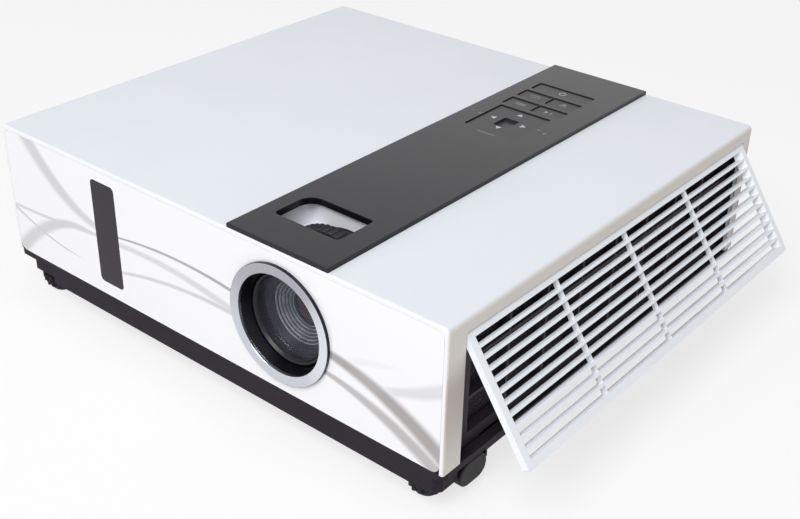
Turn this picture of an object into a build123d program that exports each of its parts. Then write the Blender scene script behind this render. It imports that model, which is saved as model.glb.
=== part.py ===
from build123d import *
import os
from math import cos, pi, sin, sqrt

# Desk-top projector with a disc player in its left side.  Millimetres.
# Origin: middle of the flat underside of the base.  +X right, +Y back, +Z up.
# The lens looks along -Y and the louvred service door hangs on the right side.

# Body
width = 350.0
depth = 312.0
body_height = 87.0
base_height = 14.5
foot_height = 14.0
wall = 2.5
panel_thick = 3.0
cover_edge = 3.0
cover_inner_corner = 5.0
front_edge_round = 1.2

# Clearances
seam = 0.15
run_gap = 0.05
move_gap = 0.4
seat_gap = 0.3

# How far joined shapes of one piece run into each other
overlap = 0.5

# Lens axis, and what stands on either side of it
lens_from_right = 110.9
lens_below_middle = 1.15

# Raised control strip, let into the top from front to back
strip_width = 72.5
strip_left_of_lens = 1.6
strip_rise = 2.6
strip_front_inset = 0.5
strip_bevel = 0.4

# Window in the strip over the focus and zoom rings
window_width = 46.5
window_depth = 28.5
window_left_of_lens = 4.0
window_from_front = 39.2
window_corner = 2.5
window_big_corner = 9.0
window_play = 1.0
lip_thick = 0.8
lip_deep = 1.4
well_margin = 4.0
well_wall = 1.5
well_depth = 15.0
well_corner = 4.0
ring_clearance = 1.5
ring_side_gap = 1.0
barrel_play = 0.5

# Keys
key_width = 20.9
key_depth = 12.0
key_gap = 0.9
key_row_gap = 4.6
keys_left_of_strip = 2.9
power_key_width = 42.0
power_key_depth = 11.8
power_key_from_back = 41.3
power_key_gap = 4.1
key_sunk = 0.7
key_travel = 1.0
key_cap_height = 4.0
key_corner = 1.0
key_edge = 0.4
key_stem_radius = 2.0
key_stem_length = 1.0
switch_radius = 3.0
switch_height = 1.0
nav_size_x = 37.6
nav_size_y = 38.9
nav_left_of_strip = 3.2
nav_gap = 4.05
nav_thick = 3.0
nav_hole_x = 11.0
nav_hole_y = 13.5
nav_hole_deep = 1.8
nav_hole_offset = 1.5
nav_hole_corner = 0.8
nav_post_radius = 3.0
nav_room = 3.0
nav_pivot_thick = 1.6
bay_margin = 3.0
board_thick = 1.6
board_margin = 8.0
board_post_radius = 2.5
board_post_inset = 3.5

# Lens
bezel_outer = 36.0
bezel_inner = 29.8
bezel_proud = 2.0
bezel_dish = 1.2
bezel_edge = 0.3
bezel_lip = 0.5
bezel_step = 0.2
bezel_grip = 5.0
bezel_wall = 3.6
bezel_behind = 1.0
shroud_throat = 27.7
shroud_taper = 6.0
barrel_seat = 0.2
shroud_length = 14.0
cell_radius = 27.0
cell_recess = 6.0
cell_length = 26.0
cell_rim = 1.2
cell_lip = 1.5
cell_shoulder = 22.0
cell_steps = 5
cell_step_depth = 2.4
cell_bore = 13.0
front_glass_radius = 24.4
front_glass_rim = 6.0
front_glass_bulge = 1.2
front_glass_hollow = 2.5
barrel_radius = 33.0
barrel_length = 52.0
barrel_stop = 2.0
flange_radius = 40.0
flange_thick = 4.0
tail_radius = 24.0
tail_length = 34.0
tail_wall = 4.0
rear_glass_rim = 4.0
rear_glass_bulge = 2.0
rear_glass_inset = 4.0
zoom_ring_below_ceiling = 2.15
focus_ring_step = 1.0
ring_width = 8.6
ring_ribs = 60
rib_radius = 0.9
rib_centre_out = 0.3
focus_ring_from_front = 31.4
focus_travel = 1.5

# Receiver window in the front panel
ir_width = 21.0
ir_above = 9.5
ir_from_left = 96.0
ir_bottom = 9.0
ir_corner = 3.0
ir_thick = 2.4

# Service door in the right side, hung at its top edge
door_from_front = 14.0
door_from_back = 9.0
door_band = 8.5
door_gap = 0.5
door_foot_gap = 2.8
door_thick = 4.0
door_open_angle = 34.0
door_side = 9.0
door_top_bar = 4.6
door_bottom_bar = 5.0
door_columns = 4
door_rib = 2.4
door_slots = 11
door_corner = 1.6
opening_corner = 0.8
slat_thick = 1.5
slat_slope = 0.1
slot_flare = 5.0
rib_deep = 2.2
hinge_pin_radius = 1.25
hinge_pin_length = 9.0
hinge_end_gap = 1.0
hinge_boss_length = 5.5
hinge_boss_depth = 4.0
hinge_boss_height = 7.0

# Filter behind the door
filter_gap = 4.6
filter_frame_thick = 6.5
filter_overlap = 4.0
filter_border = 7.0
filter_columns = 8
filter_rows = 3
filter_bar = 2.0
filter_below_door = 3.0
foam_thick = 6.0
foam_from_leg = 1.0
foam_corner = 2.0

# Base tray
rim_thick = 4.0
rim_corner = 5.0
tray_left = 12.0
tray_right = 3.5
tray_notch_x = 34.0
tray_notch_y = 37.0
tray_corner_x = 3.0
tray_corner_y = 5.0
tray_back_corner = 24.0
floor_thick = 2.5
base_bevel = 6.0
base_bevel_start = 6.0
skirt = 10.0
leg_play = 0.5
boss_radius = 5.0
boss_height = 10.0
mount_spacing_x = 110.0
mount_spacing_y = 150.0
mount_hole_radius = 2.1
mount_hole_deep = 9.0
screw_play = 0.3
screw_head_radius = 2.8
screw_head_height = 2.0
screw_shank_radius = 1.4
screw_cross_length = 3.2
screw_cross_width = 0.8
screw_cross_top = 1.2
case_screw_from_side = 27.0
case_screw_from_back = 44.0

# Front feet
foot_from_side = 20.5
foot_from_front = 15.0
leg_radius = 4.0
leg_length = 52.0
leg_head_radius = 6.5
leg_head_height = 2.0
leg_above_body = 4.0
leg_above_floor = 4.3
wheel_bore_floor = 4.0
wheel_radius = 12.0
wheel_low_radius = 10.4
wheel_tread_radius = 8.4
wheel_lobes = 14
wheel_lobe_radius = 1.7
wheel_tier = 4.0
wheel_top_gap = 1.5
tread_rim = 1.0
tread_shoulder = 0.9
tread_shoulder_low = 2.7
tread_sole = 2.6
foot_block_x = 25.0
foot_block_y = 32.5
foot_block_inset = 1.5
foot_block_front = 11.0
gusset_margin = 3.0
button_length = 23.0
button_height = 15.0
button_thick = 4.5
button_edge = 1.0
button_corner = 7.4
button_travel = 1.6
button_behind_foot = 14.5
button_z = -0.5
tongue_width = 12.0
tongue_height = 5.0
tongue_start = 1.6
tongue_below_middle = 1.0
button_notch = 9.0
button_proud = 0.5

# Rear feet
rear_foot_from_side = 35.0
rear_foot_from_back = 24.0
rear_foot_radius = 11.0
rear_pad_radius = 9.0
rear_pad_thick = 3.5

# Disc player in the left side
disc_radius = 60.0
disc_play = 0.7
disc_from_side = 71.0
drive_y = 0.0
tray_width = 140.0
tray_plate_z = 66.0
tray_plate_thick = 6.0
tray_length = 150.0
tray_corner = 3.0
tray_edge_gap = 1.0
disc_recess = 2.0
small_disc_radius = 40.5
small_disc_recess = 3.4
drawer_front_width = 148.0
drawer_front_height = 18.0
drawer_front_skin = 1.0
drawer_front_corner = 1.2
slot_corner = 1.5
case_beside_tray = 5.5
case_low = 52.0
case_high = 80.0
case_sheet = 1.0
case_length = 158.0
case_gap = 0.5
case_leg = 8.0
case_leg_inset = 20.0
ledge_thick = 1.2
ledge_grip = 2.0
holder_thick = 4.0
holder_margin = 4.0
holder_above_rail = 3.0
tray_window_y = 17.0
tray_window_corner = 8.0
tray_window_margin = 2.0
rack_from_drive = 50.0
rack_back = 2.5
rack_inset = 8.0
rack_end_inset = 2.0
gear_module = 1.2
gear_teeth = 14
gear_width = 4.0
gear_below_tray = 0.5
gear_from_side = 14.0
tooth_share = 0.4
tooth_taper = 0.25
tooth_root = 1.0
tooth_tip = 0.65
tooth_in_rim = 0.4
tooth_in_rack = 0.1
spindle_radius = 13.0
spindle_height = 7.0
turntable_radius = 14.0
turntable_thick = 2.0
turntable_cap = 1.0
turntable_hub_radius = 7.4
turntable_below_tray = 0.7
spindle_below_tray = 2.0
shaft_radius = 1.5
rail_y = 21.0
rail_z = 57.0
rail_before_disc = 20.0
rail_end_gap = 10.0
rail_in_holder = 2.0
pickup_length = 26.0
pickup_height = 7.5
pickup_below_rail = 3.2
pickup_margin = 3.5
pickup_gap = 2.0
pickup_lens_radius = 3.0
pickup_lens_place = 8.0
pickup_lens_proud = 1.2
pickup_corner = 2.0
feed_screw_from_drive = 31.0
feed_screw_radius = 1.8
journal_radius = 1.0

# Light engine and lamp
engine_half_width = 42.0
engine_to_lamp = 18.0
engine_low = 22.0
engine_below_ceiling = 9.0
engine_wall = 2.5
engine_leg_radius = 4.0
engine_leg_inset = 6.0
light_inlet_radius = 11.0
light_inlet_offset = 12.0
pedestal_margin = 4.0
prism_size = 24.0
prism_behind_middle = 6.9
lcd_border = 1.0
lcd_thick = 2.0
lcd_gap = 2.5
lamp_to_back = 38.0
lamp_length = 72.0
lamp_half_width = 33.0
lamp_low = 12.0
lamp_below_ceiling = 15.0
lamp_wall = 2.0
lamp_leg = 6.0
lamp_leg_inset = 5.0
lamp_below_lens = 6.0
lamp_mouth_lip = 4.0
saddle_width = 30.0
saddle_length = 8.0
hatch_margin = 4.0
hatch_from_back = 16.0
hatch_groove = 2.5
hatch_groove_step = 8.0
hatch_groove_deep = 1.0
hatch_groove_margin = 8.0
reflector_radius = 26.0
reflector_length = 34.0
reflector_wall = 2.0
reflector_neck = 8.0
reflector_neck_length = 12.0
reflector_stations = (0.3, 0.6, 0.85, 1.0)
bulb_radius = 4.5
bulb_length = 30.0
burner_swell = 2.0
bulb_socket = 2.0
burner_from_end = 6.0
bulb_tail = 3.0

# Fans
fan_size = 80.0
fan_thick = 25.0
fan_bore = 38.0
fan_tip = 36.8
fan_hub = 16.0
fan_blades = 7
fan_blade_thick = 1.6
fan_blade_tilt = 35.0
fan_struts = 3
fan_blade_over = 1.05
fan_strut = 4.0
fan_strut_angle = 30.0
fan_mount_thick = 4.0
fan_shaft_inset = 6.0
fan_rotor_inset = 2.0
intake_fan_from_front = 90.0
intake_fan_gap = 2.25
exhaust_fan_from_side = 71.0
vent_slots = 9
vent_slot_height = 4.0
vent_above_frame = 14.0
vent_margin = 5.0
vent_side_margin = 3.0
vent_bar = 3.0

# Boards
standoff_radius = 3.0
standoff_inset = 5.0
supply_from_left = 39.0
supply_length = 124.0
supply_width = 116.0
supply_z = 12.0
main_from_left = 59.0
main_to_fan = 18.0
main_to_drive = 8.5
main_from_back = 7.0
main_z = 26.0
# largest components of each board: corner from the board's own corner, size, height
supply_parts = [
    ((10.0, 8.0), (30.0, 30.0), 26.0), ((46.0, 10.0), (30.0, 32.0), 22.0), ((14.0, 62.0), (36.0, 40.0), 30.0),
    ((88.0, 18.0), (22.0, 80.0), 24.0), ((58.0, 66.0), (22.0, 22.0), 20.0)]
main_parts = [
    ((33.0, 11.0), (26.0, 26.0), 9.0), ((85.0, 9.0), (22.0, 22.0), 3.0), ((127.0, 15.0), (18.0, 18.0), 3.0),
    ((14.0, 9.0), (14.0, 14.0), 6.0)]

# Sockets along the back edge of the main board: share of the board's length, then width and height
# of each shelled one, or radius of each round one
shell_sizes = [(0.148, 31.0, 12.5), (0.42, 31.0, 12.5), (0.617, 14.0, 10.5)]
shell_wall = 2.5
shell_deep = 5.5
shell_inset = 0.5
shell_lift = 0.25
socket_body = 16.0
jack_sizes = [(0.741, 4.2), (0.815, 4.2), (0.889, 4.2), (0.957, 3.2)]
jack_height = 7.0
jack_wall = 0.5
jack_proud = 3.0
jack_length = 10.0
jack_bore_share = 0.4
jack_bore_deep = 5.0

# Mains inlet and speaker
inlet_from_left = 29.0
inlet_z = 40.0
inlet_width = 27.0
inlet_height = 20.0
inlet_wall = 2.5
inlet_flange = 3.0
inlet_flange_thick = 1.6
inlet_corner = 2.0
inlet_depth = 22.0
inlet_well = 15.0
pin_width = 2.0
pin_height = 4.0
pin_inset = 3.0
pin_places = [(-7.0, -2.0), (0.0, 2.0), (7.0, -2.0)]
speaker_from_left = 75.0
speaker_from_front = 40.0
speaker_radius = 24.0
speaker_height = 16.0
speaker_rim = 3.0
speaker_magnet_share = 0.55
speaker_cone_share = 0.6
speaker_slots = 5
speaker_slot = 3.0
speaker_slot_step = 7.0
speaker_slot_length = 28.0

# Planes that many pieces share
left = -width / 2
right = width / 2
front = -depth / 2
back = depth / 2
body_top = base_height + body_height
ceiling = body_top - wall
strip_top = body_top + strip_rise
key_top = strip_top - key_sunk
side_inner = right - wall
rim_low = base_height - rim_thick
panel_back = front + panel_thick
floor = floor_thick

# Places of the main pieces
lens_x = right - lens_from_right
lens_z = base_height + body_height / 2 - lens_below_middle
strip_centre = lens_x - strip_left_of_lens
window_centre_x = lens_x - window_left_of_lens
window_centre_y = front + window_from_front
power_key_y = back - power_key_from_back
key_centre_x = strip_centre - keys_left_of_strip
key_front_y = power_key_y - power_key_depth / 2 - power_key_gap - 2 * key_depth - key_row_gap
nav_centre_x = strip_centre - nav_left_of_strip
nav_centre_y = key_front_y - nav_gap - nav_size_y / 2
door_front = front + door_from_front
door_back = back - door_from_back
opening_top = body_top - door_band
hinge_x = right - door_thick / 2
hinge_z = opening_top - door_gap - door_thick / 2
door_low = base_height + door_foot_gap
zoom_ring_radius = ceiling - lens_z - zoom_ring_below_ceiling
focus_ring_radius = zoom_ring_radius - focus_ring_step
focus_ring_y = front + focus_ring_from_front
zoom_ring_y = focus_ring_y + ring_width + 2 * seat_gap
barrel_front = front + shroud_length + barrel_seat
flange_front = barrel_front + barrel_length
flange_back = flange_front + flange_thick
tail_end = flange_back + tail_length
tail_bore = tail_radius - tail_wall
cell_front = front + cell_recess
glass_front = cell_front + cell_lip
foot_x = right - foot_from_side
foot_y = front + foot_from_front
button_y = foot_y + button_behind_foot
tongue_z = rim_low / 2 - tongue_below_middle
case_screw_x = right - case_screw_from_side
case_screw_y = back - case_screw_from_back
rear_foot_x = right - rear_foot_from_side
rear_foot_y = back - rear_foot_from_back
disc_x = left + disc_from_side
gear_pitch_radius = gear_module * gear_teeth / 2
gear_x = left + gear_from_side
rack_y = drive_y - rack_from_drive
feed_screw_y = drive_y - feed_screw_from_drive
gear_y = rack_y - gear_pitch_radius
gear_low = tray_plate_z - gear_width - gear_below_tray
exhaust_fan_x = right - exhaust_fan_from_side
lamp_x = exhaust_fan_x
lamp_back = back - lamp_to_back
lamp_front = lamp_back - lamp_length
lamp_high = ceiling - lamp_below_ceiling
lamp_z = lens_z - lamp_below_lens
engine_back = lamp_front - engine_to_lamp
engine_high = ceiling - engine_below_ceiling
supply_x = (left + supply_from_left, left + supply_from_left + supply_length)
supply_y = (drive_y - supply_width / 2, drive_y + supply_width / 2)
case_width = tray_width + 2 * case_beside_tray
main_x = (left + main_from_left, exhaust_fan_x - fan_size / 2 - main_to_fan)
main_y = (drive_y + case_width / 2 + main_to_drive, back - main_from_back)
ir_centre_x = left + ir_from_left
inlet_x = left + inlet_from_left
speaker_x = left + speaker_from_left
speaker_y = front + speaker_from_front


def middle(span):
    return (span[0] + span[1]) / 2


def length(span):
    return span[1] - span[0]


def around(centre, size):
    """Span of a size about a centre."""
    return (centre - size / 2, centre + size / 2)


def block(x, y, z):
    """Box from its three (low, high) spans."""
    return Pos(middle(x), middle(y), middle(z)) * Box(length(x), length(y), length(z))


def panel(axis, first, second, span, corner):
    """Plate square to an axis, its four corners rounded; first and second are its spans
    along the other two axes in X, Y, Z order."""
    u, v = length(first), length(second)
    if axis == "Z":
        plate = extrude(RectangleRounded(u, v, corner), length(span))
        return Pos(middle(first), middle(second), span[0]) * plate
    if axis == "Y":
        plate = extrude(RectangleRounded(u, v, corner), length(span))
        return Pos(middle(first), span[1], middle(second)) * Rot(90, 0, 0) * plate
    plate = extrude(RectangleRounded(v, u, corner), length(span))
    return Pos(span[0], middle(first), middle(second)) * Rot(0, 90, 0) * plate


def rod(axis, centre, radius, span):
    """Round bar along an axis; centre is its place on the other two axes in X, Y, Z order."""
    a, b = centre
    bar = Cylinder(radius, length(span))
    if axis == "Z":
        return Pos(a, b, middle(span)) * bar
    if axis == "Y":
        return Pos(a, middle(span), b) * Rot(90, 0, 0) * bar
    return Pos(middle(span), a, b) * Rot(0, 90, 0) * bar


def turned_on_lens(points):
    """Solid turned about the lens axis; points are (radius, y)."""
    return Pos(lens_x, 0, lens_z) * revolve(make_face(Polyline(*points, close=True)), Axis.Y)


def turned_upright(points, x, y):
    """Solid turned about an upright axis; points are (radius, z)."""
    outline = make_face(Polyline(*[(r, 0, z) for r, z in points], close=True))
    return Pos(x, y, 0) * revolve(outline, Axis.Z)


def mirrored(x, side):
    """Span of X on the right side, or its mirror image on the left."""
    return x if side > 0 else (-x[1], -x[0])


def save(name, *solids):
    part = solids[0] if len(solids) == 1 else Compound(children=list(solids))
    export_step(part, f"parts/{name}.step")


def case_screw_places():
    return [(sx * case_screw_x, sy * case_screw_y) for sx in (-1, 1) for sy in (-1, 1)]


def mount_places():
    return [(sx * mount_spacing_x / 2, sy * mount_spacing_y / 2) for sx in (-1, 1) for sy in (-1, 1)]


def board_corners(x, y, inset):
    return [(px, py) for px in (x[0] + inset, x[1] - inset) for py in (y[0] + inset, y[1] - inset)]


# ---------------------------------------------------------------- casing

def key_spans():
    """Name and (x, y) spans of each key in the strip."""
    places = {"power_key": (around(key_centre_x, power_key_width), around(power_key_y, power_key_depth))}
    step_x = key_width + key_gap
    step_y = key_depth + key_row_gap
    for row, row_name in enumerate(("front", "rear")):
        for column, side_name in enumerate(("left", "right")):
            x = around(key_centre_x + (column - 0.5) * step_x, key_width)
            y = (key_front_y + row * step_y, key_front_y + row * step_y + key_depth)
            places[f"key_{row_name}_{side_name}"] = (x, y)
    return places


def widened(span, gap):
    return (span[0] - gap, span[1] + gap)


nav_x = around(nav_centre_x, nav_size_x)
nav_y = around(nav_centre_y, nav_size_y)
window_x = around(window_centre_x, window_width)
window_y = around(window_centre_y, window_depth)
key_bay_x = (nav_x[0] - bay_margin, key_centre_x + power_key_width / 2 + bay_margin)
key_bay_y = (nav_y[0] - bay_margin, power_key_y + power_key_depth / 2 + bay_margin)
key_board_x = widened(key_bay_x, board_margin)
key_board_top = key_top - key_cap_height - key_stem_length - key_travel - switch_height - seat_gap
nav_post_top = key_top - nav_thick - nav_room
well_x = widened(window_x, well_margin)
well_y = widened(window_y, well_margin)
well_low = ceiling - well_depth
door_y = (door_front + door_gap, door_back - door_gap)
filter_y = (door_front - filter_overlap, door_back + filter_overlap)
filter_x = (side_inner - filter_gap - filter_frame_thick, side_inner - filter_gap)
filter_z = (base_height + seam, opening_top + filter_below_door)
foam_x = (filter_x[0] - seam - foam_thick, filter_x[0] - seam)
fan_z = floor + seat_gap + fan_size / 2
intake_fan_x = foam_x[0] - intake_fan_gap - fan_thick
intake_fan_y = front + intake_fan_from_front
vent_x = around(exhaust_fan_x, fan_size - 2 * vent_side_margin)


def window_cut(z):
    """Window of the strip: three small corners and one large one, at the back left."""
    low_x, high_x = window_x
    low_y, high_y = window_y
    outline = Polyline((low_x, low_y), (high_x, low_y), (high_x, high_y), (low_x, high_y), close=True)
    face = make_face(outline)
    corners = face.vertices().sort_by(lambda v: v.X - v.Y)
    face = fillet(corners[0], window_big_corner)
    small = [v for v in face.vertices() if v.X > middle(window_x) or v.Y < middle(window_y) - 1.0]
    face = fillet([v for v in small if abs(v.Y - low_y) < 0.01 or abs(v.X - high_x) < 0.01], window_corner)
    return Pos(0, 0, z[0]) * extrude(face, length(z))


def top_cover():
    outer = panel("Y", (left, right), (base_height - skirt, body_top), (front, back), cover_edge)
    outer -= block((left - 1, right + 1), (front - 1, back + 1), (base_height - skirt - 1, base_height))
    rim = [e for e in outer.edges() if abs(e.center().Y - front) < 0.01 and e.center().Z > base_height + 0.1]
    outer = fillet(rim, front_edge_round)
    inside = panel("Y", (left + wall, right - wall), (base_height - 2 * skirt, ceiling),
                   (front - 1, back + 1), cover_inner_corner)
    cover = outer - inside
    # hinge bosses stand inside the two posts beside the door
    for end in (door_front, door_back):
        outward = -1 if end < 0 else 1
        boss_y = sorted((end, end + outward * hinge_boss_length))
        boss_x = (side_inner - hinge_boss_depth, side_inner + overlap)
        cover += block(boss_x, boss_y, around(hinge_z, hinge_boss_height))
        pin_y = sorted((end - outward, end + outward * hinge_pin_length / 2))
        cover -= rod("Y", (hinge_x, hinge_z), hinge_pin_radius, pin_y)
    # door opening, open at the bottom where the base closes it
    cover -= panel("X", (door_front, door_back), (base_height - skirt, opening_top),
                   (side_inner - overlap, right + 1), opening_corner)
    # slot of the disc tray in the left side
    slot_z = around(tray_plate_z + tray_plate_thick / 2, drawer_front_height + 2 * move_gap)
    slot_y = around(drive_y, drawer_front_width + 2 * move_gap)
    cover -= panel("X", slot_y, slot_z, (left - 1, left + wall + 1), slot_corner)
    # holes under the strip
    cover -= block(key_bay_x, key_bay_y, (ceiling - 1, body_top + 1))
    cover -= block(widened(window_x, window_play), widened(window_y, window_play), (ceiling - 1, body_top + 1))
    # posts that hold the key board
    for x, y in board_corners(key_board_x, key_bay_y, board_post_inset):
        cover += rod("Z", (x, y), board_post_radius, (key_board_top, ceiling + overlap))
    return cover


def front_panel():
    x = (left + wall + seam, right - wall - seam)
    z = (base_height + seam, ceiling - seam)
    face = panel("Y", x, z, (front, panel_back), cover_inner_corner - seam)
    face -= rod("Y", (lens_x, lens_z), bezel_outer - bezel_wall + seam, (front - 1, panel_back + 1))
    face -= ir_plate(seam, (front - 1, panel_back + 1))
    return face


def ir_plate(grow, y):
    x = widened(around(ir_centre_x, ir_width), grow)
    z = widened((base_height + ir_bottom, body_top - ir_above), grow)
    return panel("Y", x, z, y, ir_corner)


def ir_window():
    return ir_plate(0.0, (front, front + ir_thick))


def rear_panel():
    x = (left + wall + seam, right - wall - seam)
    z = (base_height + seam, ceiling - seam)
    face = panel("Y", x, z, (back - panel_thick, back), cover_inner_corner - seam)
    # exhaust slots
    step = (fan_size - 2 * vent_margin) / vent_slots
    first = floor + seat_gap + vent_above_frame
    for row in range(vent_slots):
        low = first + row * step
        face -= block(vent_x, (back - panel_thick - 1, back + 1), (low, low + vent_slot_height))
    for place in (-1, 1):
        face += block(around(exhaust_fan_x + place * fan_size / 5, vent_bar), (back - panel_thick, back),
                      (first - 1, first + vent_slots * step))
    # mains inlet and sockets
    through = (back - panel_thick - 1, back + 1)
    face -= block(around(inlet_x, inlet_width + 2 * seam), through, around(inlet_z, inlet_height + 2 * seam))
    for x, z, w, h in socket_places():
        face -= block(around(x, w + 2 * move_gap), through, around(z, h + 2 * move_gap))
    for x, z, r in jack_places():
        face -= rod("Y", (x, z), r + move_gap, through)
    return face


def control_strip():
    x = around(strip_centre, strip_width)
    y = (front + strip_front_inset, back)
    strip = block(x, y, (body_top, strip_top))
    bevelled = [e for e in strip.edges().filter_by(Axis.Y) if e.center().Z > body_top + 1]
    bevelled += [e for e in strip.edges().filter_by(Axis.X) if e.center().Z > body_top + 1]
    strip = chamfer(bevelled, strip_bevel)
    # lip that hangs into the hole of the cover, round the window
    lip_z = (body_top - lip_deep, body_top + overlap)
    strip += block(widened(window_x, lip_thick), widened(window_y, lip_thick), lip_z)
    strip -= window_cut((body_top - lip_deep - 1, strip_top + 1))
    for x_span, y_span in key_spans().values():
        strip -= panel("Z", widened(x_span, seat_gap), widened(y_span, seat_gap),
                       (body_top - 1, strip_top + 1), key_corner)
    strip -= panel("Z", widened(nav_x, move_gap), widened(nav_y, move_gap),
                   (body_top - 1, strip_top + 1), key_corner)
    return strip


def lens_well():
    """White lining under the strip's window, with a slot for each ring in its floor."""
    well = block(well_x, well_y, (well_low, ceiling))
    inner_x = widened(well_x, -well_wall)
    inner_y = widened(well_y, -well_wall)
    well -= panel("Z", inner_x, inner_y, (well_low + well_wall, ceiling + 1), well_corner)
    clear = zoom_ring_radius + ring_clearance
    reach = sqrt(clear ** 2 - (well_low - lens_z) ** 2)
    slot_y = (focus_ring_y - ring_width / 2 - ring_side_gap, zoom_ring_y + ring_width / 2 + ring_side_gap)
    well -= block(around(lens_x, 2 * reach), slot_y, (well_low - 1, well_low + well_wall + 1))
    well -= rod("Y", (lens_x, lens_z), clear, slot_y)
    well -= rod("Y", (lens_x, lens_z), barrel_radius + barrel_play, (well_y[0] - 1, well_y[1] + 1))
    return well


# ---------------------------------------------------------------- keys

def key_cap(x, y):
    low = key_top - key_cap_height
    cap = panel("Z", x, y, (low, key_top), key_corner)
    cap = chamfer(cap.faces().sort_by(Axis.Z)[-1].edges(), key_edge)
    return cap + rod("Z", (middle(x), middle(y)), key_stem_radius, (low - key_stem_length, low + overlap))


def key_board():
    """Board under the keys, with a switch below each and the post of the pad."""
    base = key_board_top - overlap
    board = block(key_board_x, key_bay_y, (key_board_top - board_thick, key_board_top))
    for x_span, y_span in key_spans().values():
        switch_z = (base, key_board_top + switch_height)
        board += rod("Z", (middle(x_span), middle(y_span)), switch_radius, switch_z)
    return board + rod("Z", (nav_centre_x, nav_centre_y), nav_post_radius, (base, nav_post_top))


def nav_pivot():
    """Small gimbal block that rocks on the post and carries the pad."""
    low = nav_post_top + seat_gap
    return rod("Z", (nav_centre_x, nav_centre_y), nav_post_radius, (low, low + nav_pivot_thick))


def nav_pad():
    low = key_top - nav_thick
    pad = panel("Z", nav_x, nav_y, (low, key_top), key_corner)
    pad = chamfer(pad.faces().sort_by(Axis.Z)[-1].edges(), key_edge)
    hole_x, hole_y = around(nav_centre_x, nav_hole_x), around(nav_centre_y - nav_hole_offset, nav_hole_y)
    pad -= panel("Z", hole_x, hole_y, (key_top - nav_hole_deep, key_top + 1), nav_hole_corner)
    hub_low = nav_post_top + nav_pivot_thick + 2 * seat_gap
    return pad + rod("Z", (nav_centre_x, nav_centre_y), nav_post_radius, (hub_low, low + overlap))


# ---------------------------------------------------------------- lens

def lens_bezel():
    """Bright ring round the lens, its sleeve let into the front panel."""
    lip = front - bezel_proud
    seat = front + bezel_step
    behind = panel_back + bezel_behind
    points = [
        (bezel_outer, front),
        (bezel_outer, lip + bezel_edge),
        (bezel_outer - bezel_edge, lip),
        (bezel_inner + bezel_lip, lip + bezel_dish),
        (bezel_inner, lip + bezel_dish + bezel_lip),
        (bezel_inner, seat),
        (bezel_outer - bezel_grip, seat),
        (bezel_outer - bezel_grip, behind),
        (bezel_outer - bezel_wall, behind),
        (bezel_outer - bezel_wall, front),
    ]
    return turned_on_lens(points)


def lens_shroud():
    """Black sleeve behind the bright ring, tapering in to the lens cell."""
    outer = bezel_outer - bezel_grip - seam
    start = front + bezel_step + seam
    end = front + shroud_length
    points = [(outer, start), (bezel_inner, start), (shroud_throat, front + shroud_taper),
              (shroud_throat, end), (outer, end)]
    return turned_on_lens(points)


def lens_cell():
    """Front lens cell: a rim round the front glass and a stepped black funnel behind it."""
    end = cell_front + cell_length
    bore = front_glass_radius + seam
    shoulder_y = glass_front + front_glass_rim + seam
    points = [(cell_radius, end), (cell_radius, cell_front), (cell_radius - cell_rim, cell_front)]
    points += [(bore, glass_front), (bore, shoulder_y)]
    radius, y = cell_shoulder, shoulder_y
    step_r = (cell_shoulder - cell_bore) / cell_steps
    points.append((radius, y))
    for _ in range(cell_steps):
        y += cell_step_depth
        points.append((radius, y))
        radius -= step_r
        points.append((radius, y))
    points.append((cell_bore, end))
    return turned_on_lens(points)


def lens_disc(radius, start, rim, front_bulge, back_bulge):
    """Glass with a straight rim that starts at y = start; a negative bulge is hollow."""
    end = start + rim
    front_sphere = (radius ** 2 + front_bulge ** 2) / (2 * front_bulge)
    back_sphere = (radius ** 2 + back_bulge ** 2) / (2 * back_bulge)
    face = make_face(
        Line((0, start - front_bulge), (0, end + back_bulge))
        + RadiusArc((0, end + back_bulge), (radius, end), back_sphere)
        + Line((radius, end), (radius, start))
        + RadiusArc((radius, start), (0, start - front_bulge), front_sphere))
    return Pos(lens_x, 0, lens_z) * revolve(face, Axis.Y)


def front_glass():
    return lens_disc(front_glass_radius, glass_front, front_glass_rim, front_glass_bulge, -front_glass_hollow)


def lens_barrel():
    """Tube the cell slides in, with the flange that bolts to the light engine."""
    bore = cell_radius + run_gap
    cell_end = cell_front + cell_length + focus_travel + barrel_stop
    points = [(bore, barrel_front), (barrel_radius, barrel_front), (barrel_radius, flange_front),
              (flange_radius, flange_front), (flange_radius, flange_back), (tail_radius, flange_back),
              (tail_radius, tail_end), (tail_bore, tail_end), (tail_bore, cell_end), (bore, cell_end)]
    return turned_on_lens(points)


def rear_glass():
    start = tail_end - rear_glass_inset - rear_glass_rim
    return lens_disc(tail_bore - run_gap, start, rear_glass_rim, rear_glass_bulge, rear_glass_bulge)


def grip_ring(radius, y):
    """Ring turning on the barrel, its rim milled with ribs along the lens axis."""
    span = around(y, ring_width)
    ring = rod("Y", (lens_x, lens_z), radius, span)
    groove = rod("Y", (lens_x + radius + rib_centre_out, lens_z), rib_radius, (span[0] - 1, span[1] + 1))
    axis = Axis((lens_x, 0, lens_z), (0, 1, 0))
    ring -= [groove.rotate(axis, i * 360 / ring_ribs) for i in range(ring_ribs)]
    return ring - rod("Y", (lens_x, lens_z), barrel_radius + run_gap, (span[0] - 1, span[1] + 1))


# ---------------------------------------------------------------- service door and filter

def swing_door(shape):
    """Turn a piece that is drawn in the shut door out to where the door stands."""
    return shape.rotate(Axis((hinge_x, 0, hinge_z), (0, 1, 0)), -door_open_angle)


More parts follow.
